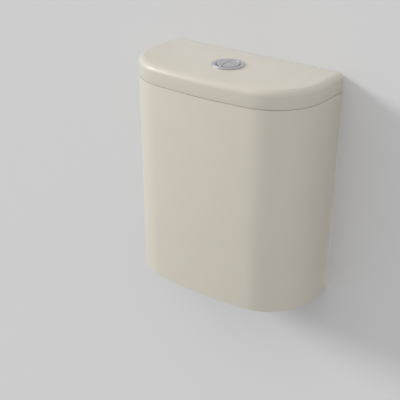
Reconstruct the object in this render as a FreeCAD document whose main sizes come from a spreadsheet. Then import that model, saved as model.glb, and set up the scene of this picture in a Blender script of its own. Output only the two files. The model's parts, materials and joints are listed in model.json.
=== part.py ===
import FreeCAD, Part
import math
import os
import Sketcher

# Toilet cistern: a drafted D-plan plastic tank for a wall, a loose lid with a two-part push button,
# a lever-worked flush valve and a float-worked fill valve.
# Millimetres, +Z up, +Y towards the wall.
# The origin lies on the wall plane, halfway between the two wall-fixing holes.

DIMENSIONS = {
    # tank and lid, outside
    "tank_width": 380, "tank_depth": 174, "tank_height": 401, "tank_draft": 3.8,
    "corner_radius": 101, "front_radius": 840, "back_radius": 2, "tank_wall": 4,
    "fixing_height": 341, "fixing_spacing": 200, "fixing_hole_radius": 3.5, "boss_radius": 11,
    "boss_depth": 4, "floor_rise": 22, "floor_thickness": 5, "rib_thickness": 2.5, "rib_height": 12,
    "rib_offset": 75, "shadow_depth": 1.8, "shadow_height": 1, "back_trim": 1, "lid_height": 34,
    "lid_edge_radius": 12, "lid_wall": 3.5, "lid_back_gap": 1, "tab_depth": 6, "tab_length": 10,
    "tab_thickness": 2.5, "lid_clearance": 0.6, "side_tab_place": 40, "front_tab_place": 60,
    "back_tab_place": 110,
    # places of the valves
    "valve_from_wall": 81, "inlet_from_side": 55, "inlet_from_wall": 60,
    # flush valve
    "outlet_bore": 23, "outlet_tail_radius": 29.8, "outlet_hole_radius": 30.8,
    "outlet_tail_drop": 42, "flange_radius": 42, "flange_thickness": 4, "gasket_thickness": 3,
    "outlet_nut_radius": 40, "outlet_nut_height": 10, "outlet_nut_lugs": 6, "thread_clearance": 0.3,
    "seat_rise": 7, "seat_width": 4, "columns": 4, "column_height": 36, "column_width": 10,
    "column_thickness": 5, "column_inset": 1, "cage_height": 80, "cage_wall": 2.5,
    "cage_window_height": 56, "cage_window_width": 34, "rest_thickness": 3, "neck_height": 15,
    "neck_lift": 1, "guide_radius": 22, "guide_wall": 4, "guide_height": 117, "overflow_radius": 16,
    "overflow_wall": 2.5, "overflow_rise": 18, "overflow_foot_play": 2, "seal_radius": 31,
    "seal_thickness": 3, "retainer_radius": 25, "retainer_thickness": 6, "ballast_radius": 34,
    "ballast_height": 44, "ballast_rise": 46, "ballast_wall": 2,
    # lever work
    "shaft_rise": 28, "shaft_radius": 2, "lever_spacing": 12, "lever_width": 7,
    "lever_hub_radius": 5, "push_arm": 13, "lift_arm": 18, "nose_radius": 3, "button_travel": 8,
    "running_clearance": 0.05, "near_gap": 0.3, "cheek_distance": 23, "cheek_thickness": 3,
    "cheek_half_width": 11, "bracket_ring_height": 12, "bracket_ring_wall": 4, "clip_radius": 4,
    "clip_thickness": 1, "yoke_height": 10, "yoke_wall": 4, "hook_thickness": 3,
    "strap_thickness": 3, "strap_gap": 1, "eye_wall": 2, "link_thickness": 2.5, "link_place": 29,
    "link_float_height": 50, "link_float_depth": 24, "link_float_width": 16, "link_float_drop": 100,
    "link_float_gap": 2,
    # buttons
    "lid_hole_radius": 26, "barrel_radius": 25.5, "barrel_bore": 23, "barrel_depth": 41,
    "barrel_floor": 3, "barrel_flange_radius": 28, "barrel_flange": 1, "lock_nut_radius": 32,
    "lock_nut_height": 7, "lock_nut_lugs": 8, "bezel_radius": 30.4, "bezel_rise": 2.8,
    "button_radius": 22.3, "button_rise": 3.4, "button_skirt": 12, "button_wall": 2,
    "button_edge": 0.8, "split_gap": 0.8, "split_offset": 6, "split_skew": 6, "split_radius": 58,
    "rod_radius": 3, "rod_offset": 13.4, "stop_radius": 4.2, "stop_height": 2, "spring_radius": 4,
    "spring_wire": 0.4, "spring_turns": 7,
    # fill valve
    "inlet_tail_radius": 10.45, "inlet_hole_radius": 11, "inlet_bore": 7, "inlet_tail_drop": 37,
    "inlet_flange_radius": 17, "inlet_flange": 4, "inlet_gasket": 2.5, "inlet_nut_width": 30,
    "inlet_nut_height": 8, "riser_radius": 10, "riser_height": 236, "head_radius": 17,
    "head_height": 30, "sleeve_depth": 10, "head_bore": 12, "diaphragm_thickness": 2,
    "bonnet_height": 12, "bonnet_edge": 2, "arm_pin_radius": 1.5, "arm_pin_reach": 21,
    "arm_pin_drop": 9, "arm_pin_end": 0.5, "arm_width": 8, "arm_length": 36, "arm_thickness": 6,
    "arm_end": 8, "arm_droop": 15, "lug_thickness": 4, "float_radius": 21, "float_height": 48,
    "float_wall": 1.6, "float_drop": 22, "adjuster_radius": 2, "adjuster_length": 40,
    "adjuster_grip": 5, "fill_tube_radius": 9, "fill_tube_wall": 1.5, "fill_tube_offset": 27,
    "fill_tube_gap": 18, "spout_rise": 6, "spout_depth": 14, "socket_length": 20, "socket_cap": 4,
    "socket_wall": 2, "filter_radius": 6.6, "filter_length": 22, "filter_wall": 0.8,
    "plug_drop": 14, "plug_dome": 2, "relief_depth": 1, "relief_width": 2,
}


# How near two heights are when they count as one
TOLERANCE = 0.001


class Size:
    """A length with its number and the sheet formula that gives it."""

    def __init__(self, value, text):
        self.value = value
        self.text = text

    def __add__(self, other):
        return Size(self.value + number(other), f"({self.text} + {formula(other)})")

    def __radd__(self, other):
        return Size(number(other) + self.value, f"({formula(other)} + {self.text})")

    def __sub__(self, other):
        return Size(self.value - number(other), f"({self.text} - {formula(other)})")

    def __rsub__(self, other):
        return Size(number(other) - self.value, f"({formula(other)} - {self.text})")

    def __mul__(self, other):
        return Size(self.value * number(other), f"({self.text} * {formula(other)})")

    def __rmul__(self, other):
        return Size(number(other) * self.value, f"({formula(other)} * {self.text})")

    def __truediv__(self, other):
        return Size(self.value / number(other), f"({self.text} / {formula(other)})")

    def __neg__(self):
        return Size(-self.value, f"(0 - {self.text})")


def number(size):
    """The plain number of a size."""
    return size.value if isinstance(size, Size) else float(size)


def formula(size):
    """The sheet formula of a size."""
    return size.text if isinstance(size, Size) else repr(float(size))


def root(size):
    """Square root of a size."""
    return Size(math.sqrt(size.value), f"sqrt({size.text})")


def sine(angle):
    """Sine of an angle in degrees."""
    return Size(math.sin(math.radians(angle.value)), f"sin({angle.text})")


def cosine(angle):
    """Cosine of an angle in degrees."""
    return Size(math.cos(math.radians(angle.value)), f"cos({angle.text})")


nothing = Size(0.0, "0")


def make_sheet(document):
    """Write the driving dimensions to the sheet, one aliased cell each."""
    sheet = document.addObject("Spreadsheet::Sheet", "sizes")
    cells = {}
    for row, (name, value) in enumerate(DIMENSIONS.items(), start=1):
        sheet.set(f"A{row}", name)
        sheet.set(f"B{row}", str(value))
        sheet.setAlias(f"B{row}", name)
        cells[name] = Size(float(value), f"sizes.{name}")
    document.recompute()
    return cells


class Place:
    """Sizes by name, as attributes."""

    def __init__(self, cells):
        self.__dict__.update(cells)


doc = FreeCAD.newDocument("toilet_cistern")
d = Place(make_sheet(doc))
parts = []

# Heights
base = -d.fixing_height
seam = base + d.tank_height
lid_top = seam + d.lid_height
floor_under = base + d.floor_rise
floor_top = floor_under + d.floor_thickness
valve_y = -d.valve_from_wall
inlet_x = d.tank_width / 2 - d.inlet_from_side
inlet_y = -d.inlet_from_wall


def new_body(label, x=0, y=0, z=0):
    """A body of its own name, placed from the sheet."""
    body = doc.addObject("PartDesign::Body", label)
    body.Label = label
    for axis, size in zip("xyz", (x, y, z)):
        if isinstance(size, Size):
            body.setExpression(f"Placement.Base.{axis}", size.text)
    parts.append(body)
    return body


def new_sketch(body, plane, offset=0):
    """A sketch on one of the body's origin planes, lifted along the plane's normal."""
    sketch = body.newObject("Sketcher::SketchObject", "profile")
    support = [feature for feature in body.Origin.OriginFeatures if feature.Role == plane][0]
    sketch.AttachmentSupport = [(support, "")]
    sketch.MapMode = "FlatFace"
    lift = FreeCAD.Vector(0, 0, number(offset))
    sketch.AttachmentOffset = FreeCAD.Placement(lift, FreeCAD.Rotation())
    if isinstance(offset, Size):
        sketch.setExpression("AttachmentOffset.Base.z", offset.text)
    return sketch


def bind_constraint(sketch, constraint, size):
    """Drive a dimension of a sketch from the sheet."""
    if isinstance(size, Size):
        sketch.setExpression(f"Constraints[{constraint}]", size.text)


def fix_point(sketch, edge, end, x, y):
    """Fix the end of an edge at a place measured from the sketch's origin."""
    bind_constraint(sketch, sketch.addConstraint(
        Sketcher.Constraint("DistanceX", -1, 1, edge, end, number(x))), x)
    bind_constraint(sketch, sketch.addConstraint(
        Sketcher.Constraint("DistanceY", -1, 1, edge, end, number(y))), y)


def draw_circle(sketch, x, y, radius):
    """A circle about a place."""
    centre = FreeCAD.Vector(number(x), number(y), 0)
    edge = sketch.addGeometry(Part.Circle(centre, FreeCAD.Vector(0, 0, 1), number(radius)), False)
    fix_point(sketch, edge, 3, x, y)
    bind_constraint(sketch, sketch.addConstraint(
        Sketcher.Constraint("Radius", edge, number(radius))), radius)


def arc_between(start, end, radius):
    """The short arc from start to end; a positive radius turns anticlockwise."""
    chord = end - start
    across = FreeCAD.Vector(-chord.y, chord.x, 0).normalize()
    rise = math.sqrt(radius ** 2 - (chord.Length / 2) ** 2)
    centre = (start + end) / 2 + across * math.copysign(rise, radius)
    if radius < 0:
        start, end = end, start
    angles = [math.atan2(point.y - centre.y, point.x - centre.x) for point in (start, end)]
    circle = Part.Circle(centre, FreeCAD.Vector(0, 0, 1), abs(radius))
    return Part.ArcOfCircle(circle, angles[0], angles[1])


def draw_loop(sketch, corners):
    """A closed loop through corners (x, y); a third value is the radius of the arc to the next."""
    edges = []
    for index, corner in enumerate(corners):
        following = corners[(index + 1) % len(corners)]
        start = FreeCAD.Vector(number(corner[0]), number(corner[1]), 0)
        end = FreeCAD.Vector(number(following[0]), number(following[1]), 0)
        if len(corner) == 2:
            edges.append((sketch.addGeometry(Part.LineSegment(start, end), False), 1, 2))
            continue
        edge = sketch.addGeometry(arc_between(start, end, number(corner[2])), False)
        ends = (1, 2) if number(corner[2]) > 0 else (2, 1)
        edges.append((edge, *ends))
    for index, (edge, first, last) in enumerate(edges):
        next_edge, next_first, _ = edges[(index + 1) % len(edges)]
        sketch.addConstraint(Sketcher.Constraint("Coincident", edge, last, next_edge, next_first))
    for corner, (edge, first, last) in zip(corners, edges):
        fix_point(sketch, edge, first, corner[0], corner[1])
        if len(corner) == 3:
            size = corner[2] if number(corner[2]) > 0 else -corner[2]
            bind_constraint(sketch, sketch.addConstraint(
                Sketcher.Constraint("Radius", edge, number(size))), size)


def rectangle(x, y, width, height):
    """Corners of a rectangle about a centre."""
    return [(x - width / 2, y - height / 2), (x + width / 2, y - height / 2),
            (x + width / 2, y + height / 2), (x - width / 2, y + height / 2)]


def box_corners(low_x, low_y, high_x, high_y):
    """Corners of a rectangle from its lowest to its highest."""
    return [(low_x, low_y), (high_x, low_y), (high_x, high_y), (low_x, high_y)]


def extrude(body, kind, sketch, length, symmetric=False, backwards=False):
    """Pad or pocket a sketch."""
    feature = body.newObject(f"PartDesign::{kind}", kind.lower())
    feature.Profile = sketch
    feature.Length = number(length)
    if isinstance(length, Size):
        feature.setExpression("Length", length.text)
    feature.SideType = "Symmetric" if symmetric else "One side"
    feature.Reversed = backwards
    sketch.Visibility = False
    return feature


def revolve(body, corners, kind="Revolution"):
    """Turn a profile (radius, height) round the body's upright axis."""
    sketch = new_sketch(body, "XZ_Plane")
    draw_loop(sketch, corners)
    feature = body.newObject(f"PartDesign::{kind}", kind.lower())
    feature.Profile = sketch
    feature.ReferenceAxis = (sketch, ["V_Axis"])
    feature.Angle = 360
    return feature


def turned_part(label, x, y, corners):
    """A turned piece on its own axis."""
    body = new_body(label, x, y)
    revolve(body, corners)
    return body


def ring_part(label, x, y, inner, outer, bottom, top):
    """A plain ring, such as a gasket."""
    return turned_part(label, x, y, box_corners(inner, bottom, outer, top))


def ring_of(body, feature, count):
    """Repeat a feature evenly round the upright axis."""
    pattern = body.newObject("PartDesign::PolarPattern", "pattern")
    pattern.Originals = [feature]
    axis = [item for item in body.Origin.OriginFeatures if item.Role == "Z_Axis"][0]
    pattern.Axis = (axis, [""])
    pattern.Angle = 360
    pattern.Occurrences = int(count.value)
    pattern.setExpression("Occurrences", count.text)
    body.Tip = pattern
    return pattern


def plan_outline(height, inset, back, edge_radius=None):
    """The tank's D plan at a height, moved in by inset, its back at the given distance from the wall."""
    narrowing = d.tank_draft * (seam - height) / d.tank_height + inset
    half = d.tank_width / 2 - narrowing
    corner = d.corner_radius - narrowing
    front = d.front_radius - narrowing
    front_centre = d.front_radius - d.tank_depth
    spread = d.tank_width / 2 - d.corner_radius
    reach = d.front_radius - d.corner_radius
    fall = root(reach * reach - spread * spread)
    corner_y = front_centre - fall
    meet_x = spread * front / reach
    meet_y = front_centre - fall * front / reach
    if edge_radius is None:
        back_corners = [(half, -back), (-half, -back)]
    else:
        back_corners = [(half, -back - edge_radius, edge_radius), (half - edge_radius, -back),
                        (edge_radius - half, -back, edge_radius), (-half, -back - edge_radius)]
    return [(-meet_x, meet_y, front), (meet_x, meet_y, corner), (half, corner_y), *back_corners,
            (-half, corner_y, corner)]


def front_at(x, height, inset):
    """Distance from the wall of the tank's front at x, moved in by inset."""
    narrowing = d.tank_draft * (seam - height) / d.tank_height + inset
    front = d.front_radius - narrowing
    return root(front * front - x * x) - (d.front_radius - d.tank_depth)


def loft_between(body, kind, bottom, top, inset, back):
    """A drafted prism between two heights of the D plan."""
    sections = []
    for height in (bottom, top):
        sketch = new_sketch(body, "XY_Plane", height)
        draw_loop(sketch, plan_outline(height, inset, back, d.back_radius))
        sections.append(sketch)
    feature = body.newObject(f"PartDesign::{kind}", "drafted_prism")
    feature.Profile = sections[0]
    feature.Sections = [sections[1]]
    feature.Ruled = True
    return feature


def tank_shell():
    """The open tank with its raised floor, skirt, ribs, bosses and holes."""
    body = new_body("tank_shell")
    loft_between(body, "AdditiveLoft", base, seam, 0, -d.back_trim)
    behind = new_sketch(body, "XZ_Plane")
    draw_loop(behind, box_corners(-d.tank_width, base * 2, d.tank_width, seam * 2))
    extrude(body, "Pocket", behind, d.back_trim * 2)
    loft_between(body, "SubtractiveLoft", floor_top, seam, d.tank_wall, d.tank_wall)
    loft_between(body, "SubtractiveLoft", base, floor_under, d.tank_wall, d.tank_wall)
    rim = new_sketch(body, "XY_Plane", seam)
    draw_loop(rim, plan_outline(seam, -d.shadow_depth, -d.shadow_depth))
    draw_loop(rim, plan_outline(seam, d.shadow_depth, d.shadow_depth))
    extrude(body, "Pocket", rim, d.shadow_height)
    holes = new_sketch(body, "XY_Plane", floor_top)
    draw_circle(holes, 0, valve_y, d.outlet_hole_radius)
    for side in (-1, 1):
        draw_circle(holes, side * inlet_x, inlet_y, d.inlet_hole_radius)
    extrude(body, "Pocket", holes, d.floor_thickness)
    floor_ribs(body)
    for kind, radius, start, length in (
            ("Pad", d.boss_radius, d.tank_wall / 2, d.tank_wall / 2 + d.boss_depth),
            ("Pocket", d.fixing_hole_radius, 0, d.tank_wall + d.boss_depth)):
        sketch = new_sketch(body, "XZ_Plane", start)
        for side in (-1, 1):
            draw_circle(sketch, side * d.fixing_spacing / 2, 0, radius)
        extrude(body, kind, sketch, length, backwards=kind == "Pocket")


def floor_ribs(body):
    """Stiffening ribs in the recess under the floor, ending inside the skirt."""
    half = d.rib_thickness / 2
    inside = d.tank_wall / 2
    sketch = new_sketch(body, "XY_Plane", floor_under)
    for side in (-1, 1):
        x = side * d.rib_offset
        end = front_at(x, floor_under, d.tank_wall)
        draw_loop(sketch, box_corners(x - half, -end - inside, x + half, -inside))
    clear = d.outlet_nut_radius + d.rib_thickness
    end = front_at(half, floor_under, d.tank_wall)
    draw_loop(sketch, box_corners(-half, valve_y + clear, half, -inside))
    draw_loop(sketch, box_corners(-half, -end - inside, half, valve_y - clear))
    extrude(body, "Pad", sketch, d.rib_height, backwards=True)


def cistern_lid():
    """The loose lid: a shallow shell with a rounded top edge, a button hole and locating tabs."""
    body = new_body("cistern_lid")
    outer = new_sketch(body, "XY_Plane", seam)
    draw_loop(outer, plan_outline(seam, 0, d.lid_back_gap))
    extrude(body, "Pad", outer, d.lid_height)
    round_edges(body, lid_top, d.lid_edge_radius, -d.lid_back_gap)
    shell_body(body, seam, d.lid_wall)
    hole = new_sketch(body, "XY_Plane", lid_top)
    draw_circle(hole, 0, valve_y, d.lid_hole_radius)
    extrude(body, "Pocket", hole, d.lid_wall)
    lid_tabs(body, seam, d.lid_wall / 2, d.lid_height - d.lid_edge_radius, False)
    lid_tabs(body, seam, d.tank_wall + d.lid_clearance, d.tab_depth, True)


def shell_body(body, height, wall):
    """Hollow a body from its flat underside, leaving the wall inside the outer faces."""
    doc.recompute()
    solid = body.Tip
    under = [f"Face{index}" for index, face in enumerate(solid.Shape.Faces, start=1)
             if abs(face.BoundBox.ZMax - number(height)) < TOLERANCE]
    shell = body.newObject("PartDesign::Thickness", "shell")
    shell.Base = (solid, under)
    shell.Value = number(wall)
    shell.setExpression("Value", wall.text)
    shell.Reversed = True
    shell.Join = "Intersection"


def lid_tabs(body, height, inset, length, downwards):
    """Thin locating tabs, two on each side of the plan, reaching out to the given inset."""
    half = d.tab_thickness / 2
    inner = d.tank_wall + d.lid_clearance + d.tab_length
    sketch = new_sketch(body, "XY_Plane", height)
    for side in (-1, 1):
        outer_x = side * (d.tank_width / 2 - inset)
        inner_x = side * (d.tank_width / 2 - inner)
        low, high = (outer_x, inner_x) if side < 0 else (inner_x, outer_x)
        draw_loop(sketch, box_corners(low, -d.side_tab_place - half, high, half - d.side_tab_place))
        front_x = side * d.front_tab_place
        far_x = d.front_tab_place + half
        outer_y = -front_at(far_x, height, inset)
        draw_loop(sketch, box_corners(front_x - half, outer_y, front_x + half, outer_y + d.tab_length))
        back_x = side * d.back_tab_place
        draw_loop(sketch, box_corners(back_x - half, -inner, back_x + half, -d.lid_back_gap - inset))
    extrude(body, "Pad", sketch, length, backwards=downwards)


def round_edges(body, height, radius, back):
    """Round the plan's edges at a height, apart from the straight back one."""
    doc.recompute()
    solid = body.Tip
    names = []
    for index, edge in enumerate(solid.Shape.Edges, start=1):
        box = edge.BoundBox
        level = abs(box.ZMin - number(height)) < TOLERANCE and abs(box.ZMax - number(height)) < TOLERANCE
        at_back = abs(box.YMin - number(back)) < TOLERANCE and abs(box.YMax - number(back)) < TOLERANCE
        if level and not at_back:
            names.append(f"Edge{index}")
    feature = body.newObject("PartDesign::Fillet", "rounded_edge")
    feature.Base = (solid, names)
    feature.Radius = number(radius)
    feature.setExpression("Radius", radius.text)
    return feature


def through_holes(body, plane, places, radius, start, length, backwards=False, symmetric=False):
    """Round holes of one radius through a wall."""
    sketch = new_sketch(body, plane, start)
    for x, y in places:
        draw_circle(sketch, x, y, radius)
    return extrude(body, "Pocket", sketch, length, symmetric, backwards)


def profile_pad(body, plane, corners, start, length, symmetric=False, backwards=False):
    """Pad one closed outline."""
    sketch = new_sketch(body, plane, start)
    draw_loop(sketch, corners)
    return extrude(body, "Pad", sketch, length, symmetric, backwards)


# Flush valve heights
tail_end = floor_under - d.outlet_tail_drop
outlet_nut_bottom = floor_under - d.outlet_nut_height
flange_bottom = floor_top + d.gasket_thickness
flange_top = flange_bottom + d.flange_thickness
seat_top = flange_bottom + d.flange_thickness + d.seat_rise
cage_bottom = flange_top + d.column_height
cage_top = cage_bottom + d.cage_height
neck_top = cage_top + d.neck_height
guide_top = neck_top + d.guide_height
guide_bore = d.guide_radius - d.guide_wall
overflow_top = guide_top + d.overflow_rise
overflow_bore = d.overflow_radius - d.overflow_wall


def threaded_tail(inner, outer, bottom, nut_bottom):
    """Corners of a hollow threaded tail's lower end, with a relief groove under its nut."""
    groove_top = nut_bottom - d.relief_width
    groove_bottom = groove_top - d.relief_width
    relieved = outer - d.relief_depth
    return [(inner, bottom), (outer, bottom), (outer, groove_bottom), (relieved, groove_bottom),
            (relieved, groove_top), (outer, groove_top)]


def flush_valve_base():
    """The outlet body: threaded tail, clamping flange, raised seat and columns for the tower."""
    inner = d.outlet_bore
    lip = inner + d.seat_width
    body = turned_part("flush_valve_base", 0, valve_y, [
        *threaded_tail(inner, d.outlet_tail_radius, tail_end, outlet_nut_bottom),
        (d.outlet_tail_radius, flange_bottom), (d.flange_radius, flange_bottom),
        (d.flange_radius, flange_top), (lip, flange_top), (lip, seat_top), (inner, seat_top)])
    column_x = d.flange_radius - d.column_thickness / 2 - d.column_inset
    column = profile_pad(body, "XY_Plane", rectangle(column_x, 0, d.column_thickness, d.column_width),
                         flange_top, d.column_height)
    ring_of(body, column, d.columns)


def lobed_nut(label, x, y, inner, outer, bottom, height, lugs):
    """A round back nut with grip lugs."""
    lug = outer / 12
    body = turned_part(label, x, y, box_corners(inner, bottom, outer - lug, bottom + height))
    first = profile_pad(body, "XY_Plane", rectangle(outer - lug, 0, lug * 2, lug * 2), bottom, height)
    ring_of(body, first, lugs)


def hex_nut(label, x, y, inner, width, top, height):
    """A hexagonal back nut under the floor."""
    corner = width / root(Size(3.0, "3"))
    half = width / 2
    body = new_body(label, x, y)
    sketch = new_sketch(body, "XY_Plane", top)
    draw_loop(sketch, [(corner, 0), (corner / 2, half), (-corner / 2, half), (-corner, 0),
                       (-corner / 2, -half), (corner / 2, -half)])
    draw_circle(sketch, 0, 0, inner)
    extrude(body, "Pad", sketch, height, backwards=True)


def valve_tower():
    """The windowed cage that stands on the base's columns, its neck and the guide tube above."""
    cage_bore = d.flange_radius - d.cage_wall
    rest = d.flange_radius - d.column_thickness - d.column_inset
    neck_inside = cage_top - d.neck_lift
    rest_top = cage_bottom + d.rest_thickness
    guide_inside = neck_top - d.neck_lift - d.guide_wall
    body = turned_part("valve_tower", 0, valve_y, [
        (rest, cage_bottom), (d.flange_radius, cage_bottom), (d.flange_radius, cage_top),
        (d.guide_radius, neck_top), (d.guide_radius, guide_top), (guide_bore, guide_top),
        (guide_bore, guide_inside), (cage_bore, neck_inside), (cage_bore, rest_top), (rest, rest_top)])
    middle = cage_bottom + d.cage_height / 2
    for plane in ("XZ_Plane", "YZ_Plane"):
        sketch = new_sketch(body, plane)
        draw_loop(sketch, rectangle(0, middle, d.cage_window_width, d.cage_window_height))
        extrude(body, "Pocket", sketch, d.flange_radius * 3, symmetric=True)


def overflow_tube():
    """The overflow tube, with the collar that carries the seal."""
    collar = d.outlet_bore - d.overflow_foot_play
    bottom = seat_top - d.seal_thickness
    turned_part("overflow_tube", 0, valve_y, [
        (overflow_bore, bottom), (collar, bottom), (collar, seat_top), (d.overflow_radius, seat_top),
        (d.overflow_radius, overflow_top), (overflow_bore, overflow_top)])


def full_flush_float():
    """The float on the overflow tube: an inverted cup that keeps the valve up until the tank is empty."""
    inner = d.overflow_radius + d.near_gap
    bottom = seat_top + d.ballast_rise
    top = bottom + d.ballast_height
    wall = d.ballast_wall
    turned_part("full_flush_float", 0, valve_y, [
        (inner, bottom), (inner + wall, bottom), (inner + wall, top - wall),
        (d.ballast_radius - wall, top - wall), (d.ballast_radius - wall, bottom),
        (d.ballast_radius, bottom), (d.ballast_radius, top), (inner, top)])


# Lever work
shaft_z = overflow_top + d.shaft_rise
half_travel = d.button_travel / 2
level_reach = root(d.push_arm * d.push_arm - half_travel * half_travel)
lift_share = d.lift_arm / d.push_arm
nose_top = shaft_z - half_travel * lift_share + d.nose_radius
hook_bottom = nose_top + d.near_gap
hook_top = hook_bottom + d.hook_thickness
hook_inner = level_reach * lift_share - d.nose_radius
rod_bottom = shaft_z + half_travel + d.nose_radius + d.near_gap
lever_offset = d.lever_spacing / 2
cheek_outer = d.cheek_distance + d.cheek_thickness
ring_outer = d.guide_radius + d.near_gap + d.bracket_ring_wall


def flush_lever(label, side):
    """A two-armed lever with round noses; side is +1 when its push arm points to +X."""
    body = new_body(label, 0, valve_y, shaft_z)
    rise = half_travel / d.push_arm
    level = side * level_reach / d.push_arm
    half = d.nose_radius * 2 / 3
    push = (level * d.push_arm, rise * d.push_arm)
    lift = (-level * d.lift_arm, -rise * d.lift_arm)
    over = (-rise * half, level * half)
    outline = [(lift[0] - over[0], lift[1] - over[1]), (push[0] - over[0], push[1] - over[1]),
               (push[0] + over[0], push[1] + over[1]), (lift[0] + over[0], lift[1] + over[1])]
    middle = side * lever_offset
    profile_pad(body, "XZ_Plane", outline, middle, d.lever_width, symmetric=True)
    noses = new_sketch(body, "XZ_Plane", middle)
    for x, z in (push, lift):
        draw_circle(noses, x, z, d.nose_radius)
    extrude(body, "Pad", noses, d.lever_width, symmetric=True)
    hub = new_sketch(body, "XZ_Plane", side * d.near_gap / 2)
    draw_circle(hub, 0, 0, d.lever_hub_radius)
    extrude(body, "Pad", hub, d.cheek_distance - d.near_gap * 3 / 2, backwards=side < 0)
    through_holes(body, "XZ_Plane", [(0, 0)], d.shaft_radius + d.running_clearance, 0,
                  d.cheek_distance * 2, symmetric=True)


def lever_shaft():
    """The shaft that both levers turn on, with a head at the front."""
    body = new_body("lever_shaft", 0, valve_y, shaft_z)
    length = (cheek_outer + d.clip_thickness * 3) * 2
    shaft = new_sketch(body, "XZ_Plane")
    draw_circle(shaft, 0, 0, d.shaft_radius)
    extrude(body, "Pad", shaft, length, symmetric=True)
    head = new_sketch(body, "XZ_Plane", cheek_outer + d.near_gap)
    draw_circle(head, 0, 0, d.clip_radius)
    extrude(body, "Pad", head, d.clip_thickness)


def shaft_clip():
    """The spring clip on the shaft's wall end."""
    body = new_body("shaft_clip", 0, valve_y, shaft_z)
    ring = new_sketch(body, "XZ_Plane", -cheek_outer - d.near_gap)
    draw_circle(ring, 0, 0, d.clip_radius)
    draw_circle(ring, 0, 0, d.shaft_radius + d.running_clearance)
    extrude(body, "Pad", ring, d.clip_thickness, backwards=True)


def lever_bracket():
    """The bracket on the guide tube: clamp ring, two cheeks for the shaft and a guide eye."""
    inner = d.guide_radius + d.near_gap
    bottom = guide_top - d.bracket_ring_height
    body = turned_part("lever_bracket", 0, valve_y, box_corners(inner, bottom, ring_outer, guide_top))
    top = shaft_z + d.lever_hub_radius
    half = d.cheek_half_width
    outline = [(-half, bottom), (half, bottom), (half, shaft_z - d.lever_hub_radius),
               (d.lever_hub_radius, top), (-d.lever_hub_radius, top),
               (-half, shaft_z - d.lever_hub_radius)]
    for side in (-1, 1):
        profile_pad(body, "XZ_Plane", outline, side * d.cheek_distance, d.cheek_thickness,
                    backwards=side < 0)
    through_holes(body, "XZ_Plane", [(0, shaft_z)], d.shaft_radius + d.running_clearance, 0,
                  (cheek_outer + d.cheek_thickness) * 2, symmetric=True)
    eye_inner = ring_outer - d.bracket_ring_wall / 2
    eye_outer = d.link_place + d.link_thickness + d.near_gap + d.eye_wall
    width = d.lever_width + (d.near_gap + d.eye_wall) * 2
    profile_pad(body, "XY_Plane",
                box_corners(eye_inner, lever_offset - width / 2, eye_outer, lever_offset + width / 2),
                bottom, d.bracket_ring_height / 2)
    slot = new_sketch(body, "XY_Plane", bottom)
    low_x = d.link_place - d.near_gap
    high_x = d.link_place + d.link_thickness + d.near_gap
    slot_half = d.lever_width / 2 + d.near_gap
    draw_loop(slot, box_corners(low_x, lever_offset - slot_half, high_x, lever_offset + slot_half))
    extrude(body, "Pocket", slot, d.bracket_ring_height, backwards=True)


def lift_yoke():
    """The clamp on the overflow tube, with the strap and hook that the full-flush lever lifts."""
    inner = d.overflow_radius + d.near_gap
    bottom = overflow_top - d.yoke_height
    body = turned_part("lift_yoke", 0, valve_y,
                       box_corners(inner, bottom, inner + d.yoke_wall, overflow_top))
    strap_inner = -(d.lift_arm + d.nose_radius + d.strap_gap)
    strap_outer = strap_inner - d.strap_thickness
    root_x = -inner - d.yoke_wall / 2
    outline = [(root_x, bottom), (root_x, overflow_top), (strap_inner, overflow_top),
               (strap_inner, hook_bottom), (-hook_inner, hook_bottom), (-hook_inner, hook_top),
               (strap_outer, hook_top), (strap_outer, bottom)]
    profile_pad(body, "XZ_Plane", outline, lever_offset, d.lever_width, symmetric=True)


link_float_top = shaft_z - d.link_float_drop
link_float_bottom = link_float_top - d.link_float_height


def half_flush_link():
    """The strip that the half-flush lever lifts, hooked at the top and footed under its float."""
    body = new_body("half_flush_link", 0, valve_y)
    inner = d.link_place
    outer = d.link_place + d.link_thickness
    foot_top = link_float_bottom - d.near_gap
    outline = [(hook_inner, hook_bottom), (inner, hook_bottom), (inner, foot_top - d.hook_thickness),
               (outer + d.hook_thickness, foot_top - d.hook_thickness), (outer + d.hook_thickness, foot_top),
               (outer, foot_top), (outer, hook_top), (hook_inner, hook_top)]
    profile_pad(body, "XZ_Plane", outline, -lever_offset, d.lever_width, symmetric=True)


def half_flush_float():
    """The small float threaded on the strip."""
    body = new_body("half_flush_float", 0, valve_y)
    inner = d.guide_radius + d.link_float_gap
    sketch = new_sketch(body, "XY_Plane", link_float_bottom)
    half = d.link_float_depth / 2
    draw_loop(sketch, box_corners(inner, lever_offset - half, inner + d.link_float_width,
                                  lever_offset + half))
    slot_half = d.lever_width / 2 + d.near_gap
    draw_loop(sketch, box_corners(d.link_place - d.near_gap, lever_offset - slot_half,
                                  d.link_place + d.link_thickness + d.near_gap,
                                  lever_offset + slot_half))
    extrude(body, "Pad", sketch, d.link_float_height)


# Buttons
barrel_bottom = lid_top - d.barrel_depth
barrel_inside = barrel_bottom + d.barrel_floor
barrel_top = lid_top + d.barrel_flange
button_top = lid_top + d.button_rise
button_bottom = button_top - d.button_skirt
button_inside = button_top - d.button_wall


def button_bezel():
    """The ring round the buttons, rounded on both edges."""
    curve = d.bezel_rise * 2 / 3
    top = lid_top + d.bezel_rise
    inner_curve = d.bezel_rise / 3
    turned_part("button_bezel", 0, valve_y, [
        (d.barrel_flange_radius + d.near_gap, lid_top), (d.bezel_radius, lid_top),
        (d.bezel_radius, top - curve, curve), (d.bezel_radius - curve, top),
        (d.barrel_bore + inner_curve, top, inner_curve), (d.barrel_bore, top - inner_curve),
        (d.barrel_bore, barrel_top), (d.barrel_flange_radius + d.near_gap, barrel_top)])


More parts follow.
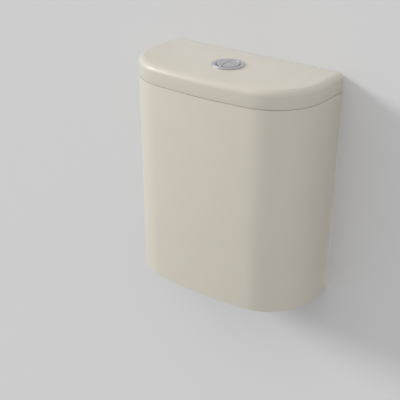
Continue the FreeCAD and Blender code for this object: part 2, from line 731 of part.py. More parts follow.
def button_barrel():
    """The barrel through the lid that guides both buttons and their rods."""
    body = turned_part("button_barrel", 0, valve_y, [
        (0, barrel_bottom), (d.barrel_radius, barrel_bottom), (d.barrel_radius, lid_top),
        (d.barrel_flange_radius, lid_top), (d.barrel_flange_radius, barrel_top),
        (d.barrel_bore, barrel_top), (d.barrel_bore, barrel_inside), (0, barrel_inside)])
    places = [(d.rod_offset, -lever_offset), (-d.rod_offset, lever_offset)]
    through_holes(body, "XY_Plane", places, d.rod_radius + d.near_gap, barrel_inside, d.barrel_floor)


def upright_cylinder(x, y, bottom, top, radius):
    """A plain cylinder between two heights."""
    solid = doc.addObject("Part::Cylinder", "cylinder")
    solid.setExpression("Radius", radius.text)
    solid.setExpression("Height", (top - bottom).text)
    for axis, size in zip("xyz", (x, y, bottom)):
        if isinstance(size, Size):
            solid.setExpression(f"Placement.Base.{axis}", size.text)
    return solid


def combine(kind, base_solid, tool):
    """Cut one solid by another, or keep what they share."""
    result = doc.addObject(f"Part::{kind}", kind.lower())
    result.Base = base_solid
    result.Tool = tool
    return result


def flush_button(label, full):
    """One of the two buttons: a disc divided by a curved split, hollow underneath."""
    kind = "Common" if full else "Cut"
    inward = -1 if full else 1
    centre_x = d.split_radius - d.split_offset
    centre_y = valve_y + d.split_skew
    solids = []
    for wall, bottom, top in ((nothing, button_bottom, button_top),
                              (d.button_wall, button_bottom, button_inside)):
        disc = upright_cylinder(0, valve_y, bottom, top, d.button_radius - wall)
        split = upright_cylinder(centre_x, centre_y, bottom, top,
                                 d.split_radius + inward * (d.split_gap / 2 + wall))
        solids.append(combine(kind, disc, split))
    hollow = combine("Cut", *solids)
    doc.recompute()
    edges = [index for index, edge in enumerate(hollow.Shape.Edges, start=1)
             if abs(edge.BoundBox.ZMin - number(button_top)) < TOLERANCE]
    button = doc.addObject("Part::Fillet", label)
    button.Base = hollow
    button.Edges = [(index, number(d.button_edge), number(d.button_edge)) for index in edges]
    button.Label = label
    parts.append(button)


def push_rod(label, side):
    """A push rod from the button's underside to just above its lever, with a stop collar."""
    collar_top = barrel_bottom - d.near_gap
    body = new_body(label, side * d.rod_offset, valve_y - side * lever_offset)
    revolve(body, [(0, rod_bottom), (d.rod_radius, rod_bottom), (d.rod_radius, collar_top - d.stop_height),
                   (d.stop_radius, collar_top - d.stop_height), (d.stop_radius, collar_top),
                   (d.rod_radius, collar_top), (d.rod_radius, button_inside), (0, button_inside)])


def return_spring(label, side):
    """The coil spring between the barrel's floor and the button."""
    body = new_body(label, side * d.rod_offset, valve_y - side * lever_offset)
    bottom = barrel_inside + d.spring_wire + d.near_gap / 3
    rise = button_inside - barrel_inside - d.spring_wire * 2 - d.near_gap * 2 / 3
    wire = new_sketch(body, "XZ_Plane")
    draw_circle(wire, d.spring_radius, bottom, d.spring_wire)
    helix = body.newObject("PartDesign::AdditiveHelix", "coil")
    helix.Profile = wire
    helix.ReferenceAxis = (wire, ["V_Axis"])
    helix.Mode = "height-turns-angle"
    helix.Height = number(rise)
    helix.Turns = d.spring_turns.value
    helix.setExpression("Height", rise.text)
    helix.setExpression("Turns", d.spring_turns.text)


def lock_nut():
    """The nut under the lid that clamps the barrel."""
    top = lid_top - d.lid_wall
    lobed_nut("barrel_lock_nut", 0, valve_y, d.barrel_radius + d.near_gap, d.lock_nut_radius,
              top - d.lock_nut_height, d.lock_nut_height, d.lock_nut_lugs)


# Fill valve
inlet_tail_end = floor_under - d.inlet_tail_drop
inlet_nut_bottom = floor_under - d.inlet_nut_height
inlet_flange_bottom = floor_top + d.inlet_gasket
inlet_flange_top = inlet_flange_bottom + d.inlet_flange
riser_top = inlet_flange_top + d.riser_height
head_top = riser_top + d.head_height
pivot_z = head_top - d.arm_pin_drop
pivot_x = d.arm_pin_reach - inlet_x
recess = d.diaphragm_thickness * 3
spout_y = -d.fill_tube_offset
spout_radius = d.fill_tube_radius + d.near_gap + d.socket_wall
spout_top = riser_top + d.spout_rise
lug_start = d.arm_width / 2 + d.near_gap


def fill_valve_stem():
    """The fill valve's threaded tail, flange and riser, one moulding."""
    turned_part("fill_valve_stem", -inlet_x, inlet_y, [
        *threaded_tail(d.inlet_bore, d.inlet_tail_radius, inlet_tail_end, inlet_nut_bottom),
        (d.inlet_tail_radius, inlet_flange_bottom), (d.inlet_flange_radius, inlet_flange_bottom),
        (d.inlet_flange_radius, inlet_flange_top), (d.riser_radius, inlet_flange_top),
        (d.riser_radius, riser_top), (d.inlet_bore, riser_top)])


def blanking_plug():
    """The plug in the spare inlet hole, which lets the tank be fed from either side."""
    dome = inlet_flange_top + d.plug_dome
    bottom = floor_under - d.plug_drop
    turned_part("blanking_plug", inlet_x, inlet_y, [
        (0, bottom), (d.inlet_tail_radius, bottom), (d.inlet_tail_radius, inlet_flange_bottom),
        (d.inlet_flange_radius, inlet_flange_bottom), (d.inlet_flange_radius, inlet_flange_top),
        (d.inlet_flange_radius - d.plug_dome, dome), (0, dome)])


def inlet_filter():
    """The thimble strainer pushed into the tail's end."""
    top = inlet_tail_end + d.filter_length
    inner = d.filter_radius - d.filter_wall
    turned_part("inlet_filter", -inlet_x, inlet_y, [
        (inner, inlet_tail_end), (d.filter_radius, inlet_tail_end), (d.filter_radius, top), (0, top),
        (0, top - d.filter_wall), (inner, top - d.filter_wall)])


def fill_valve_head():
    """The valve head on the riser: seat, diaphragm recess, side spout and lugs for the float arm."""
    sleeve = d.riser_radius + d.near_gap
    bottom = riser_top - d.sleeve_depth
    nozzle = d.inlet_bore / 2
    body = turned_part("fill_valve_head", -inlet_x, inlet_y, [
        (sleeve, bottom), (d.head_radius, bottom), (d.head_radius, head_top), (d.head_bore, head_top),
        (d.head_bore, head_top - recess), (nozzle, head_top - recess), (nozzle, riser_top),
        (sleeve, riser_top)])
    width = d.fill_tube_radius * 3 / 2
    profile_pad(body, "XY_Plane", box_corners(-width / 2, spout_y, width / 2, -d.head_bore),
                spout_top, d.spout_depth, backwards=True)
    socket = new_sketch(body, "XY_Plane", spout_top)
    draw_circle(socket, 0, spout_y, spout_radius)
    extrude(body, "Pad", socket, d.socket_length, backwards=True)
    through_holes(body, "XY_Plane", [(0, spout_y)], d.fill_tube_radius + d.near_gap,
                  spout_top - d.socket_cap, d.socket_length)
    reach = d.arm_pin_reach
    half = d.lever_hub_radius
    lug = [(d.head_bore, pivot_z - half), (reach, pivot_z - half, half), (reach + half, pivot_z, half),
           (reach, pivot_z + half), (d.head_bore, pivot_z + half)]
    for side in (-1, 1):
        profile_pad(body, "XZ_Plane", lug, side * lug_start, d.lug_thickness, backwards=side < 0)
    through_holes(body, "XZ_Plane", [(reach, pivot_z)], d.arm_pin_radius + d.running_clearance, 0,
                  (lug_start + d.lug_thickness * 2) * 2, symmetric=True)


def fill_valve_bonnet():
    """The screwed cap that holds the diaphragm down."""
    spigot = d.head_bore - d.near_gap
    low = head_top - recess + d.diaphragm_thickness
    top = head_top + d.bonnet_height
    turned_part("fill_valve_bonnet", -inlet_x, inlet_y, [
        (0, low), (spigot, low), (spigot, head_top), (d.head_radius, head_top),
        (d.head_radius, top - d.bonnet_edge), (d.head_radius - d.bonnet_edge, top), (0, top)])


def fill_diaphragm():
    """The rubber diaphragm on the valve seat."""
    low = head_top - recess
    turned_part("fill_diaphragm", -inlet_x, inlet_y, [
        (0, low), (d.head_bore - d.near_gap, low), (d.head_bore - d.near_gap, low + d.diaphragm_thickness),
        (0, low + d.diaphragm_thickness)])


def quiet_fill_tube():
    """The tube that leads the filling water down to the floor."""
    bottom = inlet_flange_top + d.fill_tube_gap
    ring_part("quiet_fill_tube", -inlet_x, inlet_y + spout_y,
              d.fill_tube_radius - d.fill_tube_wall, d.fill_tube_radius, bottom, spout_top - d.socket_cap)


def float_arm_pin():
    """The pin that the float arm swings on."""
    body = new_body("float_arm_pin", pivot_x, inlet_y, pivot_z)
    sketch = new_sketch(body, "XZ_Plane")
    draw_circle(sketch, 0, 0, d.arm_pin_radius)
    extrude(body, "Pad", sketch, (lug_start + d.lug_thickness + d.arm_pin_end) * 2, symmetric=True)


def droop(body):
    """Turn a piece of the float arm down to its lower stop."""
    body.Placement = FreeCAD.Placement(FreeCAD.Vector(), FreeCAD.Rotation(FreeCAD.Vector(0, 1, 0), 1))
    body.setExpression("Placement.Rotation.Angle", d.arm_droop.text)


def arm_body(label, along):
    """A body on the drooped float arm, its upright axis at a distance from the pivot."""
    angle = d.arm_droop
    body = doc.addObject("PartDesign::Body", label)
    body.Label = label
    droop(body)
    body.setExpression("Placement.Base.x", (pivot_x + along * cosine(angle)).text)
    body.setExpression("Placement.Base.y", inlet_y.text)
    body.setExpression("Placement.Base.z", (pivot_z - along * sine(angle)).text)
    parts.append(body)
    return body


def float_arm():
    """The float arm: hub on the pin, bar and a hole for the level screw."""
    body = arm_body("float_arm", nothing)
    half = d.arm_thickness / 2
    bar = box_corners(0, -half, d.arm_length + d.arm_end, half)
    profile_pad(body, "XZ_Plane", bar, 0, d.arm_width, symmetric=True)
    hub = new_sketch(body, "XZ_Plane")
    draw_circle(hub, 0, 0, d.arm_thickness * 2 / 3)
    extrude(body, "Pad", hub, d.arm_width, symmetric=True)
    through_holes(body, "XZ_Plane", [(0, 0)], d.arm_pin_radius + d.running_clearance, 0,
                  d.arm_width * 2, symmetric=True)
    through_holes(body, "XY_Plane", [(d.arm_length, 0)], d.adjuster_radius + d.near_gap, half,
                  d.arm_thickness)


def float_cup():
    """The float: an inverted cup with a sleeve for the level screw."""
    body = arm_body("float_cup", d.arm_length)
    inner = d.adjuster_radius + d.near_gap
    wall = d.float_wall
    top = -d.float_drop
    bottom = top - d.float_height
    revolve(body, [(inner, top - d.float_height / 2), (inner + wall, top - d.float_height / 2),
                   (inner + wall, top - wall), (d.float_radius - wall, top - wall),
                   (d.float_radius - wall, bottom), (d.float_radius, bottom), (d.float_radius, top),
                   (inner, top)])


def level_screw():
    """The screw that sets the water level, with a knob above the arm."""
    body = arm_body("level_screw", d.arm_length)
    knob_low = d.arm_thickness / 2
    knob_high = knob_low + d.arm_thickness
    revolve(body, [(0, -d.adjuster_length), (d.adjuster_radius, -d.adjuster_length),
                   (d.adjuster_radius, knob_low),
                   (d.adjuster_grip, knob_low), (d.adjuster_grip, knob_high), (0, knob_high)])


def build_tank():
    """The tank and its fixed flush-valve pieces."""
    tank_shell()
    flush_valve_base()
    ring_part("outlet_gasket", 0, valve_y, d.outlet_tail_radius + d.near_gap, d.outlet_nut_radius,
              floor_top, flange_bottom)
    lobed_nut("outlet_back_nut", 0, valve_y, d.outlet_tail_radius + d.thread_clearance,
              d.outlet_nut_radius, outlet_nut_bottom, d.outlet_nut_height, d.outlet_nut_lugs)
    valve_tower()
    lever_bracket()
    lever_shaft()
    shaft_clip()


def build_fill_valve():
    """The fill valve, its fixings and the spare side's plug."""
    fill_valve_stem()
    blanking_plug()
    for side, name in ((-1, "inlet"), (1, "blanking")):
        x = side * inlet_x
        ring_part(f"{name}_gasket", x, inlet_y, d.inlet_tail_radius + d.near_gap, d.inlet_flange_radius,
                  floor_top, inlet_flange_bottom)
        hex_nut(f"{name}_back_nut", x, inlet_y, d.inlet_tail_radius + d.thread_clearance,
                d.inlet_nut_width, floor_under, d.inlet_nut_height)
    inlet_filter()
    fill_valve_head()
    fill_diaphragm()
    fill_valve_bonnet()
    quiet_fill_tube()
    float_arm_pin()
    float_arm()
    float_cup()
    level_screw()


def build_valve_core():
    """What the full-flush lever lifts."""
    overflow_tube()
    inner = d.overflow_radius + d.near_gap
    retainer_bottom = seat_top + d.seal_thickness
    ring_part("outlet_seal", 0, valve_y, inner, d.seal_radius, seat_top, retainer_bottom)
    ring_part("seal_retainer", 0, valve_y, inner, d.retainer_radius, retainer_bottom,
              retainer_bottom + d.retainer_thickness)
    full_flush_float()
    lift_yoke()
    half_flush_link()
    half_flush_float()
    flush_lever("full_flush_lever", 1)
    flush_lever("half_flush_lever", -1)


def build_lid():
    """The lid with its buttons."""
    cistern_lid()
    button_bezel()
    button_barrel()
    lock_nut()
    flush_button("full_flush_button", True)
    flush_button("half_flush_button", False)
    for side, name in ((1, "full"), (-1, "half")):
        push_rod(f"{name}_push_rod", side)
        return_spring(f"{name}_return_spring", side)


build_tank()
build_fill_valve()
build_valve_core()
build_lid()


def finish():
    """Check every object, then write each piece to its own file."""
    doc.recompute()
    for item in doc.Objects:
        if "Invalid" in item.State or "Error" in item.State:
            raise RuntimeError(f"{item.Label} failed: {item.State}")
    for piece in parts:
        if piece.Shape.isNull() or not piece.Shape.isValid():
            raise RuntimeError(f"{piece.Label} has no valid shape")
    os.makedirs("parts", exist_ok=True)
    for piece in parts:
        piece.Shape.exportStep(f"parts/{piece.Label}.step")
        print(piece.Label, len(piece.Shape.Solids), round(piece.Shape.Volume / 1000, 2))


finish()
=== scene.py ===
"""Looks of a wall-hung plastic toilet cistern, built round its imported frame.

Lengths named or described as millimetres are turned into the frame's metres by MM. The axes are the
frame's own: +Z up, +Y to the wall, the origin on the wall plane halfway between the two wall-fixing
holes.
"""

import json
import logging
import math
from collections.abc import Iterable, Sequence
from dataclasses import dataclass, field
from enum import Enum

import bmesh
import bpy
from mathutils import Matrix, Vector


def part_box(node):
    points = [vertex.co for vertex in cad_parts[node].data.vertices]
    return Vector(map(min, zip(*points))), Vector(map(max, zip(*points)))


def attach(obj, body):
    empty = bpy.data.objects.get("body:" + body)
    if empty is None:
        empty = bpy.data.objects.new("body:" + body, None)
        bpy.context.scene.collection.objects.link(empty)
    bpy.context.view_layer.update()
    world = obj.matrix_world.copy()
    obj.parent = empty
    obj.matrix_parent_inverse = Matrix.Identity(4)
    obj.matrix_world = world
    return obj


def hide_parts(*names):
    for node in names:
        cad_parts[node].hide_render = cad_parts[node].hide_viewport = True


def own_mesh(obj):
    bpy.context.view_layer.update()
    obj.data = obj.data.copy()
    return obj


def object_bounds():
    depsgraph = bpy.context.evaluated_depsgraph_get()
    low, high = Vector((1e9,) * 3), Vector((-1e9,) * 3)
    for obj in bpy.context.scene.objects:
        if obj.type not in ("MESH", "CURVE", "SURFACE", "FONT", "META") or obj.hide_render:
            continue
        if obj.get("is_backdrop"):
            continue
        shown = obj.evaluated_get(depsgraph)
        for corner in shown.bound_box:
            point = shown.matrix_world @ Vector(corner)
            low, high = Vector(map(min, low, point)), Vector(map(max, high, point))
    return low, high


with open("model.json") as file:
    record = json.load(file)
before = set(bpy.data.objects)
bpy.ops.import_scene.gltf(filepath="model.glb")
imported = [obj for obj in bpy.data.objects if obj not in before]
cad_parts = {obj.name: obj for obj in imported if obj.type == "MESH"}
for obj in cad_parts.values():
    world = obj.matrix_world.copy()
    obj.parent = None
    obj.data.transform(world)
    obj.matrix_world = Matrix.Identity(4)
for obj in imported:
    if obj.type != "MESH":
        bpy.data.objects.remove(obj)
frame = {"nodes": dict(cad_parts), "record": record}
LOG = logging.getLogger("cistern")
MM = 0.001
# Merging distance for points that are one point, in millimetres.
SAME_POINT_MM = 0.001
# Merging distance after a cut or for a copied mesh, in millimetres.
SAME_CUT_MM = 0.002
# How far red, green and blue light spread inside a translucent plastic, relative to its depth.
LIGHT_REACH = (1.0, 0.9, 0.7)
LIGHT_DEPTH_MM = 1.5
# Faces that meet at less than the first angle are one face; at more than the second, an edge.
FLAT_DEG = 0.3
SHARP_DEG = 40
# Edges sharper than this stay sharp in the shading of the tank and the lid.
SOFT_DEG = 30
BODY_OF = {node: body for body, nodes in frame["record"]["behaviour"]["bodies"].items()
           for node in nodes}
SLOT_OF = {row["node"]: row["material_slot"] for row in frame["record"]["subparts"]}
JOINT_RANGE_MM = {row["name"]: [limit / MM for limit in row["range_m"]]
                  for row in frame["record"]["behaviour"]["joints"] if row["type"] == "slide"}


def linear(hex_colour: str) -> tuple[float, float, float, float]:
    """Turn an sRGB hex colour into the linear values that shaders take.

    Args:
        hex_colour: Six hex digits with a leading mark, such as "#D9D3C4".

    Returns:
        Linear red, green, blue and a full alpha.
    """
    channels = [int(hex_colour[i:i + 2], 16) / 255 for i in (1, 3, 5)]
    values = [c / 12.92 if c <= 0.04045 else ((c + 0.055) / 1.055) ** 2.4 for c in channels]
    return (values[0], values[1], values[2], 1.0)


def add_node(tree: bpy.types.NodeTree, kind: str, settings: dict | None = None,
             inputs: dict | None = None) -> bpy.types.Node:
    """Add a node, set its properties, and set or link its sockets.

    Args:
        tree: Node tree that gets the node.
        kind: Node type's identifier, such as "ShaderNodeTexNoise".
        settings: Properties by name.
        inputs: Values, or output sockets to link from, by input name or index.

    Returns:
        The new node.
    """
    node = tree.nodes.new(kind)
    for name, value in (settings or {}).items():
        setattr(node, name, value)
    for name, value in (inputs or {}).items():
        socket = node.inputs[name]
        if isinstance(value, bpy.types.NodeSocket):
            tree.links.new(value, socket)
        else:
            socket.default_value = value
    return node


class Grain(Enum):
    """How a surface was made, which sets the pattern of its fine relief."""

    MOULDED = "moulded"
    TURNED = "turned"
    DRAWN = "drawn"


@dataclass(frozen=True)
class Finish:
    """A surface finish and the material that shows it.

    The colour drifts slowly between two close tones, roughness is patchy, and a fine relief bends
    the reflections, as on real mouldings and turned metal.
    """

    name: str
    colour: str
    tone: str
    roughness: float
    roughness_spread: float = 0.06
    metallic: float = 0.0
    grain: Grain = Grain.MOULDED
    grain_mm: float = 0.6
    relief_mm: float = 0.004
    wave_mm: float = 45.0
    wave_relief_mm: float = 0.0
    translucency: float = 0.0

    def material(self) -> bpy.types.Material:
        """Build the node material of this finish.

        Returns:
            The new material.
        """
        made = bpy.data.materials.new(self.name)
        made.use_nodes = True
        tree = made.node_tree
        tree.nodes.clear()
        place = add_node(tree, "ShaderNodeTexCoord").outputs["Object"]
        drift = add_node(tree, "ShaderNodeTexNoise", None,
                         {"Vector": place, "Scale": 1 / (self.wave_mm * MM), "Detail": 3.0})
        colour = add_node(tree, "ShaderNodeMix", {"data_type": "RGBA"},
                          {"Factor": drift.outputs["Fac"], "A": linear(self.colour),
                           "B": linear(self.tone)})
        patchy = add_node(tree, "ShaderNodeMapRange", None,
                          {"Value": drift.outputs["Fac"], "From Min": 0.3, "From Max": 0.7,
                           "To Min": self.roughness - self.roughness_spread / 2,
                           "To Max": self.roughness + self.roughness_spread / 2})
        normal = self._relief(tree, place, drift.outputs["Fac"])
        shader = add_node(tree, "ShaderNodeBsdfPrincipled", None,
                          {"Base Color": colour.outputs["Result"],
                           "Roughness": patchy.outputs["Result"], "Metallic": self.metallic,
                           "Subsurface Weight": self.translucency, "Normal": normal})
        shader.inputs["Subsurface Radius"].default_value = LIGHT_REACH
        shader.inputs["Subsurface Scale"].default_value = LIGHT_DEPTH_MM * MM
        add_node(tree, "ShaderNodeOutputMaterial", None, {"Surface": shader.outputs["BSDF"]})
        return made

    def _relief(self, tree: bpy.types.NodeTree, place: bpy.types.NodeSocket,
                drift: bpy.types.NodeSocket) -> bpy.types.NodeSocket:
        """Bend the normal by the fine grain of how the surface was made, over slow waves.

        Args:
            tree: Node tree of the material.
            place: Socket with the place on the object.
            drift: Socket with the slow noise that the waves follow.

        Returns:
            The socket with the bent normal.
        """
        stretch = {Grain.MOULDED: (1, 1, 1), Grain.TURNED: (0.08, 0.08, 1),
                   Grain.DRAWN: (1, 0.05, 1)}
        mapped = add_node(tree, "ShaderNodeMapping", None,
                          {"Vector": place, "Scale": stretch[self.grain]})
        fine = add_node(tree, "ShaderNodeTexNoise", None,
                        {"Vector": mapped.outputs["Vector"], "Scale": 1 / (self.grain_mm * MM),
                         "Detail": 2.0})
        bump = add_node(tree, "ShaderNodeBump", None,
                        {"Height": fine.outputs["Fac"], "Distance": self.relief_mm * MM,
                         "Strength": 1.0})
        if self.wave_relief_mm:
            bump = add_node(tree, "ShaderNodeBump", None,
                            {"Height": drift, "Distance": self.wave_relief_mm * MM,
                             "Strength": 1.0, "Normal": bump.outputs["Normal"]})
        return bump.outputs["Normal"]


# ABS, injection moulded against a polished tool: warm off-white with a soft gloss.
GLOSS_ABS = Finish("gloss_abs_warm_white", "#D2CCBE", "#CFC8BA", 0.38, 0.05, grain_mm=0.9,
                   relief_mm=0.002, wave_mm=60, wave_relief_mm=0.02)
# Chromium over ABS: bright and neutral, with a haze that softens the lamp's reflection.
BRIGHT_CHROME = Finish("bright_chrome_plate", "#C3C4C9", "#BDBEC4", 0.5, 0.04, 1.0, grain_mm=0.5,
                       relief_mm=0.0006)
# Chromium over a blasted tool: the buttons reflect softly.
SATIN_CHROME = Finish("satin_chrome_plate", "#BEBFC2", "#B6B7BB", 0.34, 0.06, 1.0, grain_mm=0.35,
                      relief_mm=0.0012)
# Acetal, moulded: bluish white, waxy satin.
WHITE_ACETAL = Finish("moulded_white_acetal", "#E2E4E3", "#DADDDD", 0.42, translucency=0.1)
# Polypropylene, moulded: mid grey, nearly matt.
GREY_PP = Finish("moulded_grey_polypropylene", "#8E9294", "#85898B", 0.5)
# ABS coloured through: lever parts in signal blue.
BLUE_ABS = Finish("moulded_blue_abs", "#2A5C9E", "#27548F", 0.38)
# ABS coloured through: lever parts in green.
GREEN_ABS = Finish("moulded_green_abs", "#3A8560", "#347856", 0.38)
# Polystyrene float: translucent milk white.
FLOAT_PS = Finish("moulded_float_polystyrene", "#DFE0DC", "#D6D8D4", 0.34, translucency=0.2)
# EPDM rubber, pressed: black-grey and matt.
BLACK_RUBBER = Finish("pressed_epdm_rubber", "#26272A", "#1E1F21", 0.72, grain_mm=0.4,
                      relief_mm=0.01)
# Silicone rubber: soft red with a light bloom.
RED_SILICONE = Finish("moulded_red_silicone", "#A5382C", "#943024", 0.55, grain_mm=0.5,
                      relief_mm=0.006, translucency=0.15)
# Stainless steel, drawn: fine lines along its length.
DRAWN_STEEL = Finish("drawn_stainless_steel", "#B9BABB", "#A9AAAC", 0.28, 0.1, 1.0,
                     grain=Grain.DRAWN, grain_mm=0.3, relief_mm=0.002)
# Brass, turned: yellow metal with fine tool marks round the axis.
TURNED_BRASS = Finish("turned_brass", "#D9B66A", "#C7A157", 0.26, 0.1, 1.0, grain=Grain.TURNED,
                      grain_mm=0.3, relief_mm=0.002)

FINISH_OF_SLOT = {
    "cistern_plastic": GLOSS_ABS, "bright_chrome": BRIGHT_CHROME, "satin_chrome": SATIN_CHROME,
    "white_acetal": WHITE_ACETAL, "grey_polypropylene": GREY_PP, "blue_plastic": BLUE_ABS,
    "green_plastic": GREEN_ABS, "float_plastic": FLOAT_PS, "black_rubber": BLACK_RUBBER,
    "red_silicone": RED_SILICONE, "stainless": DRAWN_STEEL, "brass_nut": TURNED_BRASS,
}


@dataclass
class Wardrobe:
    """The materials made so far, one for each finish."""

    made: dict[str, bpy.types.Material] = field(default_factory=dict)

    def get(self, finish: Finish) -> bpy.types.Material:
        """The material of a finish, made on first use."""
        if finish.name not in self.made:
            self.made[finish.name] = finish.material()
        return self.made[finish.name]


WARDROBE = Wardrobe()


def as_piece(mesh: bmesh.types.BMesh, name: str, finish: Finish, replaced: Sequence[str],
             smooth_angle: float = 35.0) -> bpy.types.Object:
    """Turn a finished bmesh into a piece that stands for one or more nodes.

    Args:
        mesh: The modelled shape; it is freed.
        name: Name of the new piece.
        finish: Its finish.
        replaced: The nodes that the piece stands for; it rides on the first one's body.
        smooth_angle: Edges sharper than this, in degrees, stay sharp.

    Returns:
        The new object.
    """
    data = bpy.data.meshes.new(name)
    mesh.to_mesh(data)
    mesh.free()
    piece = bpy.data.objects.new(name, data)
    bpy.context.scene.collection.objects.link(piece)
    data.shade_smooth()
    data.set_sharp_from_angle(angle=math.radians(smooth_angle))
    data.materials.append(WARDROBE.get(finish))
    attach(piece, BODY_OF[replaced[0]])
    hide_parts(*replaced)
    LOG.info("made %s for %s", name, ", ".join(replaced))
    return piece


def sharp_edges(mesh: bmesh.types.BMesh) -> list[bmesh.types.BMEdge]:
    """The edges at which two faces meet at more than a gentle angle."""
    return [edge for edge in mesh.edges
            if len(edge.link_faces) == 2 and edge.calc_face_angle(0.0) > math.radians(SHARP_DEG)]


def refined(node: str, edge: float = 0.3 * MM) -> bmesh.types.BMesh:
    """A merged copy of a node's mesh with its sharp edges softened.

    Args:
        node: Name of the node.
        edge: Radius of the softened edges, in metres.

    Returns:
        The new bmesh.
    """
    mesh = bmesh.new()
    mesh.from_mesh(frame["nodes"][node].data)
    bmesh.ops.remove_doubles(mesh, verts=mesh.verts, dist=SAME_CUT_MM * MM)
    bmesh.ops.dissolve_limit(mesh, angle_limit=math.radians(FLAT_DEG), verts=mesh.verts,
                             edges=mesh.edges)
    bmesh.ops.bevel(mesh, geom=sharp_edges(mesh), offset=edge, offset_type="OFFSET", segments=2,
                    profile=0.5, affect="EDGES", clamp_overlap=True, material=-1)
    return mesh


def sketch_run(mesh: bmesh.types.BMesh, vert: bmesh.types.BMVert,
               place: Sequence[float]) -> bmesh.types.BMVert:
    """Draw a straight edge from a vertex to a place and return its far vertex."""
    tip = bmesh.ops.extrude_vert_indiv(mesh, verts=[vert])["verts"][0]
    tip.co = place
    return tip


def sketch_arc(mesh: bmesh.types.BMesh, vert: bmesh.types.BMVert, centre: Sequence[float],
               turn: float, steps: int,
               axis: Sequence[float] = (0.0, 0.0, 1.0)) -> bmesh.types.BMVert:
    """Draw an arc from a vertex about a centre.

    Args:
        mesh: The bmesh that is drawn in.
        vert: Where the arc starts.
        centre: Its centre.
        turn: Its angle in degrees, anticlockwise seen from the axis' tip.
        steps: Number of edges.
        axis: Axis of the turn.

    Returns:
        The vertex at the arc's end.
    """
    swept = bmesh.ops.spin(mesh, geom=[vert], cent=centre, axis=axis,
                           angle=math.radians(turn), steps=steps, use_merge=False)
    return swept["geom_last"][0]


@dataclass
class Plan:
    """The cistern's D plan: straight back and sides, round corners and a slightly bowed front."""

    width: float = 380.0
    depth: float = 174.0
    corner_radius: float = 101.0
    front_radius: float = 840.0
    top: float = 60.0
    draft: float = 3.8
    height: float = 401.0
    corner_steps: int = 28
    front_steps: int = 24
    back_steps: int = 4

    def narrowing(self, z: float) -> float:
        """How far the drafted outside has moved in at a height, in millimetres."""
        return self.draft * (self.top - z) / self.height

    def ring(self, mesh: bmesh.types.BMesh, z: float, inset: float, back: float,
             back_radius: float) -> list[bmesh.types.BMEdge]:
        """Draw the plan at a height.

        Args:
            mesh: The bmesh that is drawn in.
            z: Height in millimetres.
            inset: How far the sides and the front have moved in.
            back: Distance of the back from the wall.
            back_radius: Radius of the two upright edges at the back.

        Returns:
            The ring's edges.
        """
        before = set(mesh.edges)
        centre_y = self.front_radius - self.depth
        spread = self.width / 2 - self.corner_radius
        reach = self.front_radius - self.corner_radius
        lean = math.degrees(math.asin(spread / reach))
        corner_y = centre_y - math.sqrt(reach ** 2 - spread ** 2)
        half = self.width / 2 - inset
        corner_turn = 90 - lean
        first = mesh.verts.new((half * MM, (-back - back_radius) * MM, z * MM))
        tip = sketch_run(mesh, first, (half * MM, corner_y * MM, z * MM))
        tip = sketch_arc(mesh, tip, (spread * MM, corner_y * MM, z * MM), -corner_turn,
                         self.corner_steps)
        tip = sketch_arc(mesh, tip, (0, centre_y * MM, z * MM), -2 * lean, self.front_steps)
        tip = sketch_arc(mesh, tip, (-spread * MM, corner_y * MM, z * MM), -corner_turn,
                         self.corner_steps)
        tip = sketch_run(mesh, tip, (-half * MM, (-back - back_radius) * MM, z * MM))
        tip = sketch_arc(mesh, tip,
                         ((back_radius - half) * MM, (-back - back_radius) * MM, z * MM),
                         -90, self.back_steps)
        tip = sketch_run(mesh, tip, ((half - back_radius) * MM, -back * MM, z * MM))
        tip = sketch_arc(mesh, tip,
                         ((half - back_radius) * MM, (-back - back_radius) * MM, z * MM),
                         -90, self.back_steps)
        bmesh.ops.pointmerge(mesh, verts=[tip, first], merge_co=first.co.copy())
        return [edge for edge in mesh.edges if edge not in before]

    def skin(self, sections: Sequence[tuple[float, float, float]],
             back_radius: float) -> bmesh.types.BMesh:
        """Skin a closed solid over rings of the plan.

        Args:
            sections: Height, inset and distance from the wall of each ring, in millimetres.
            back_radius: Radius of the upright edges at the back.

        Returns:
            The closed bmesh, its faces outwards.
        """
        mesh = bmesh.new()
        for pair in zip(sections, sections[1:]):
            rings = [self.ring(mesh, z, inset, back, back_radius) for z, inset, back in pair]
            bmesh.ops.bridge_loops(mesh, edges=rings[0] + rings[1])
        for z, inset, back in (sections[0], sections[-1]):
            bmesh.ops.contextual_create(mesh, geom=self.ring(mesh, z, inset, back, back_radius))
        bmesh.ops.remove_doubles(mesh, verts=mesh.verts, dist=SAME_POINT_MM * MM)
        bmesh.ops.recalc_face_normals(mesh, faces=mesh.faces)
        return mesh


def quarter(steps: int) -> list[float]:
    """Angles from nought to a quarter turn, in radians."""
    return [math.tau / 4 * step / steps for step in range(steps + 1)]


def box_block(low: Sequence[float], high: Sequence[float]) -> bmesh.types.BMesh:
    """A plain block for joining.

    Args:
        low: Its lowest corner, in millimetres.
        high: Its highest corner.

    Returns:
        The closed bmesh.
    """
    mesh = bmesh.new()
    size = [(b - a) * MM for a, b in zip(low, high)]
    middle = Vector([(a + b) / 2 * MM for a, b in zip(low, high)])
    bmesh.ops.create_cube(mesh, size=1.0, matrix=Matrix.Translation(middle) @ Matrix.Diagonal(
        (*size, 1.0)))
    return mesh


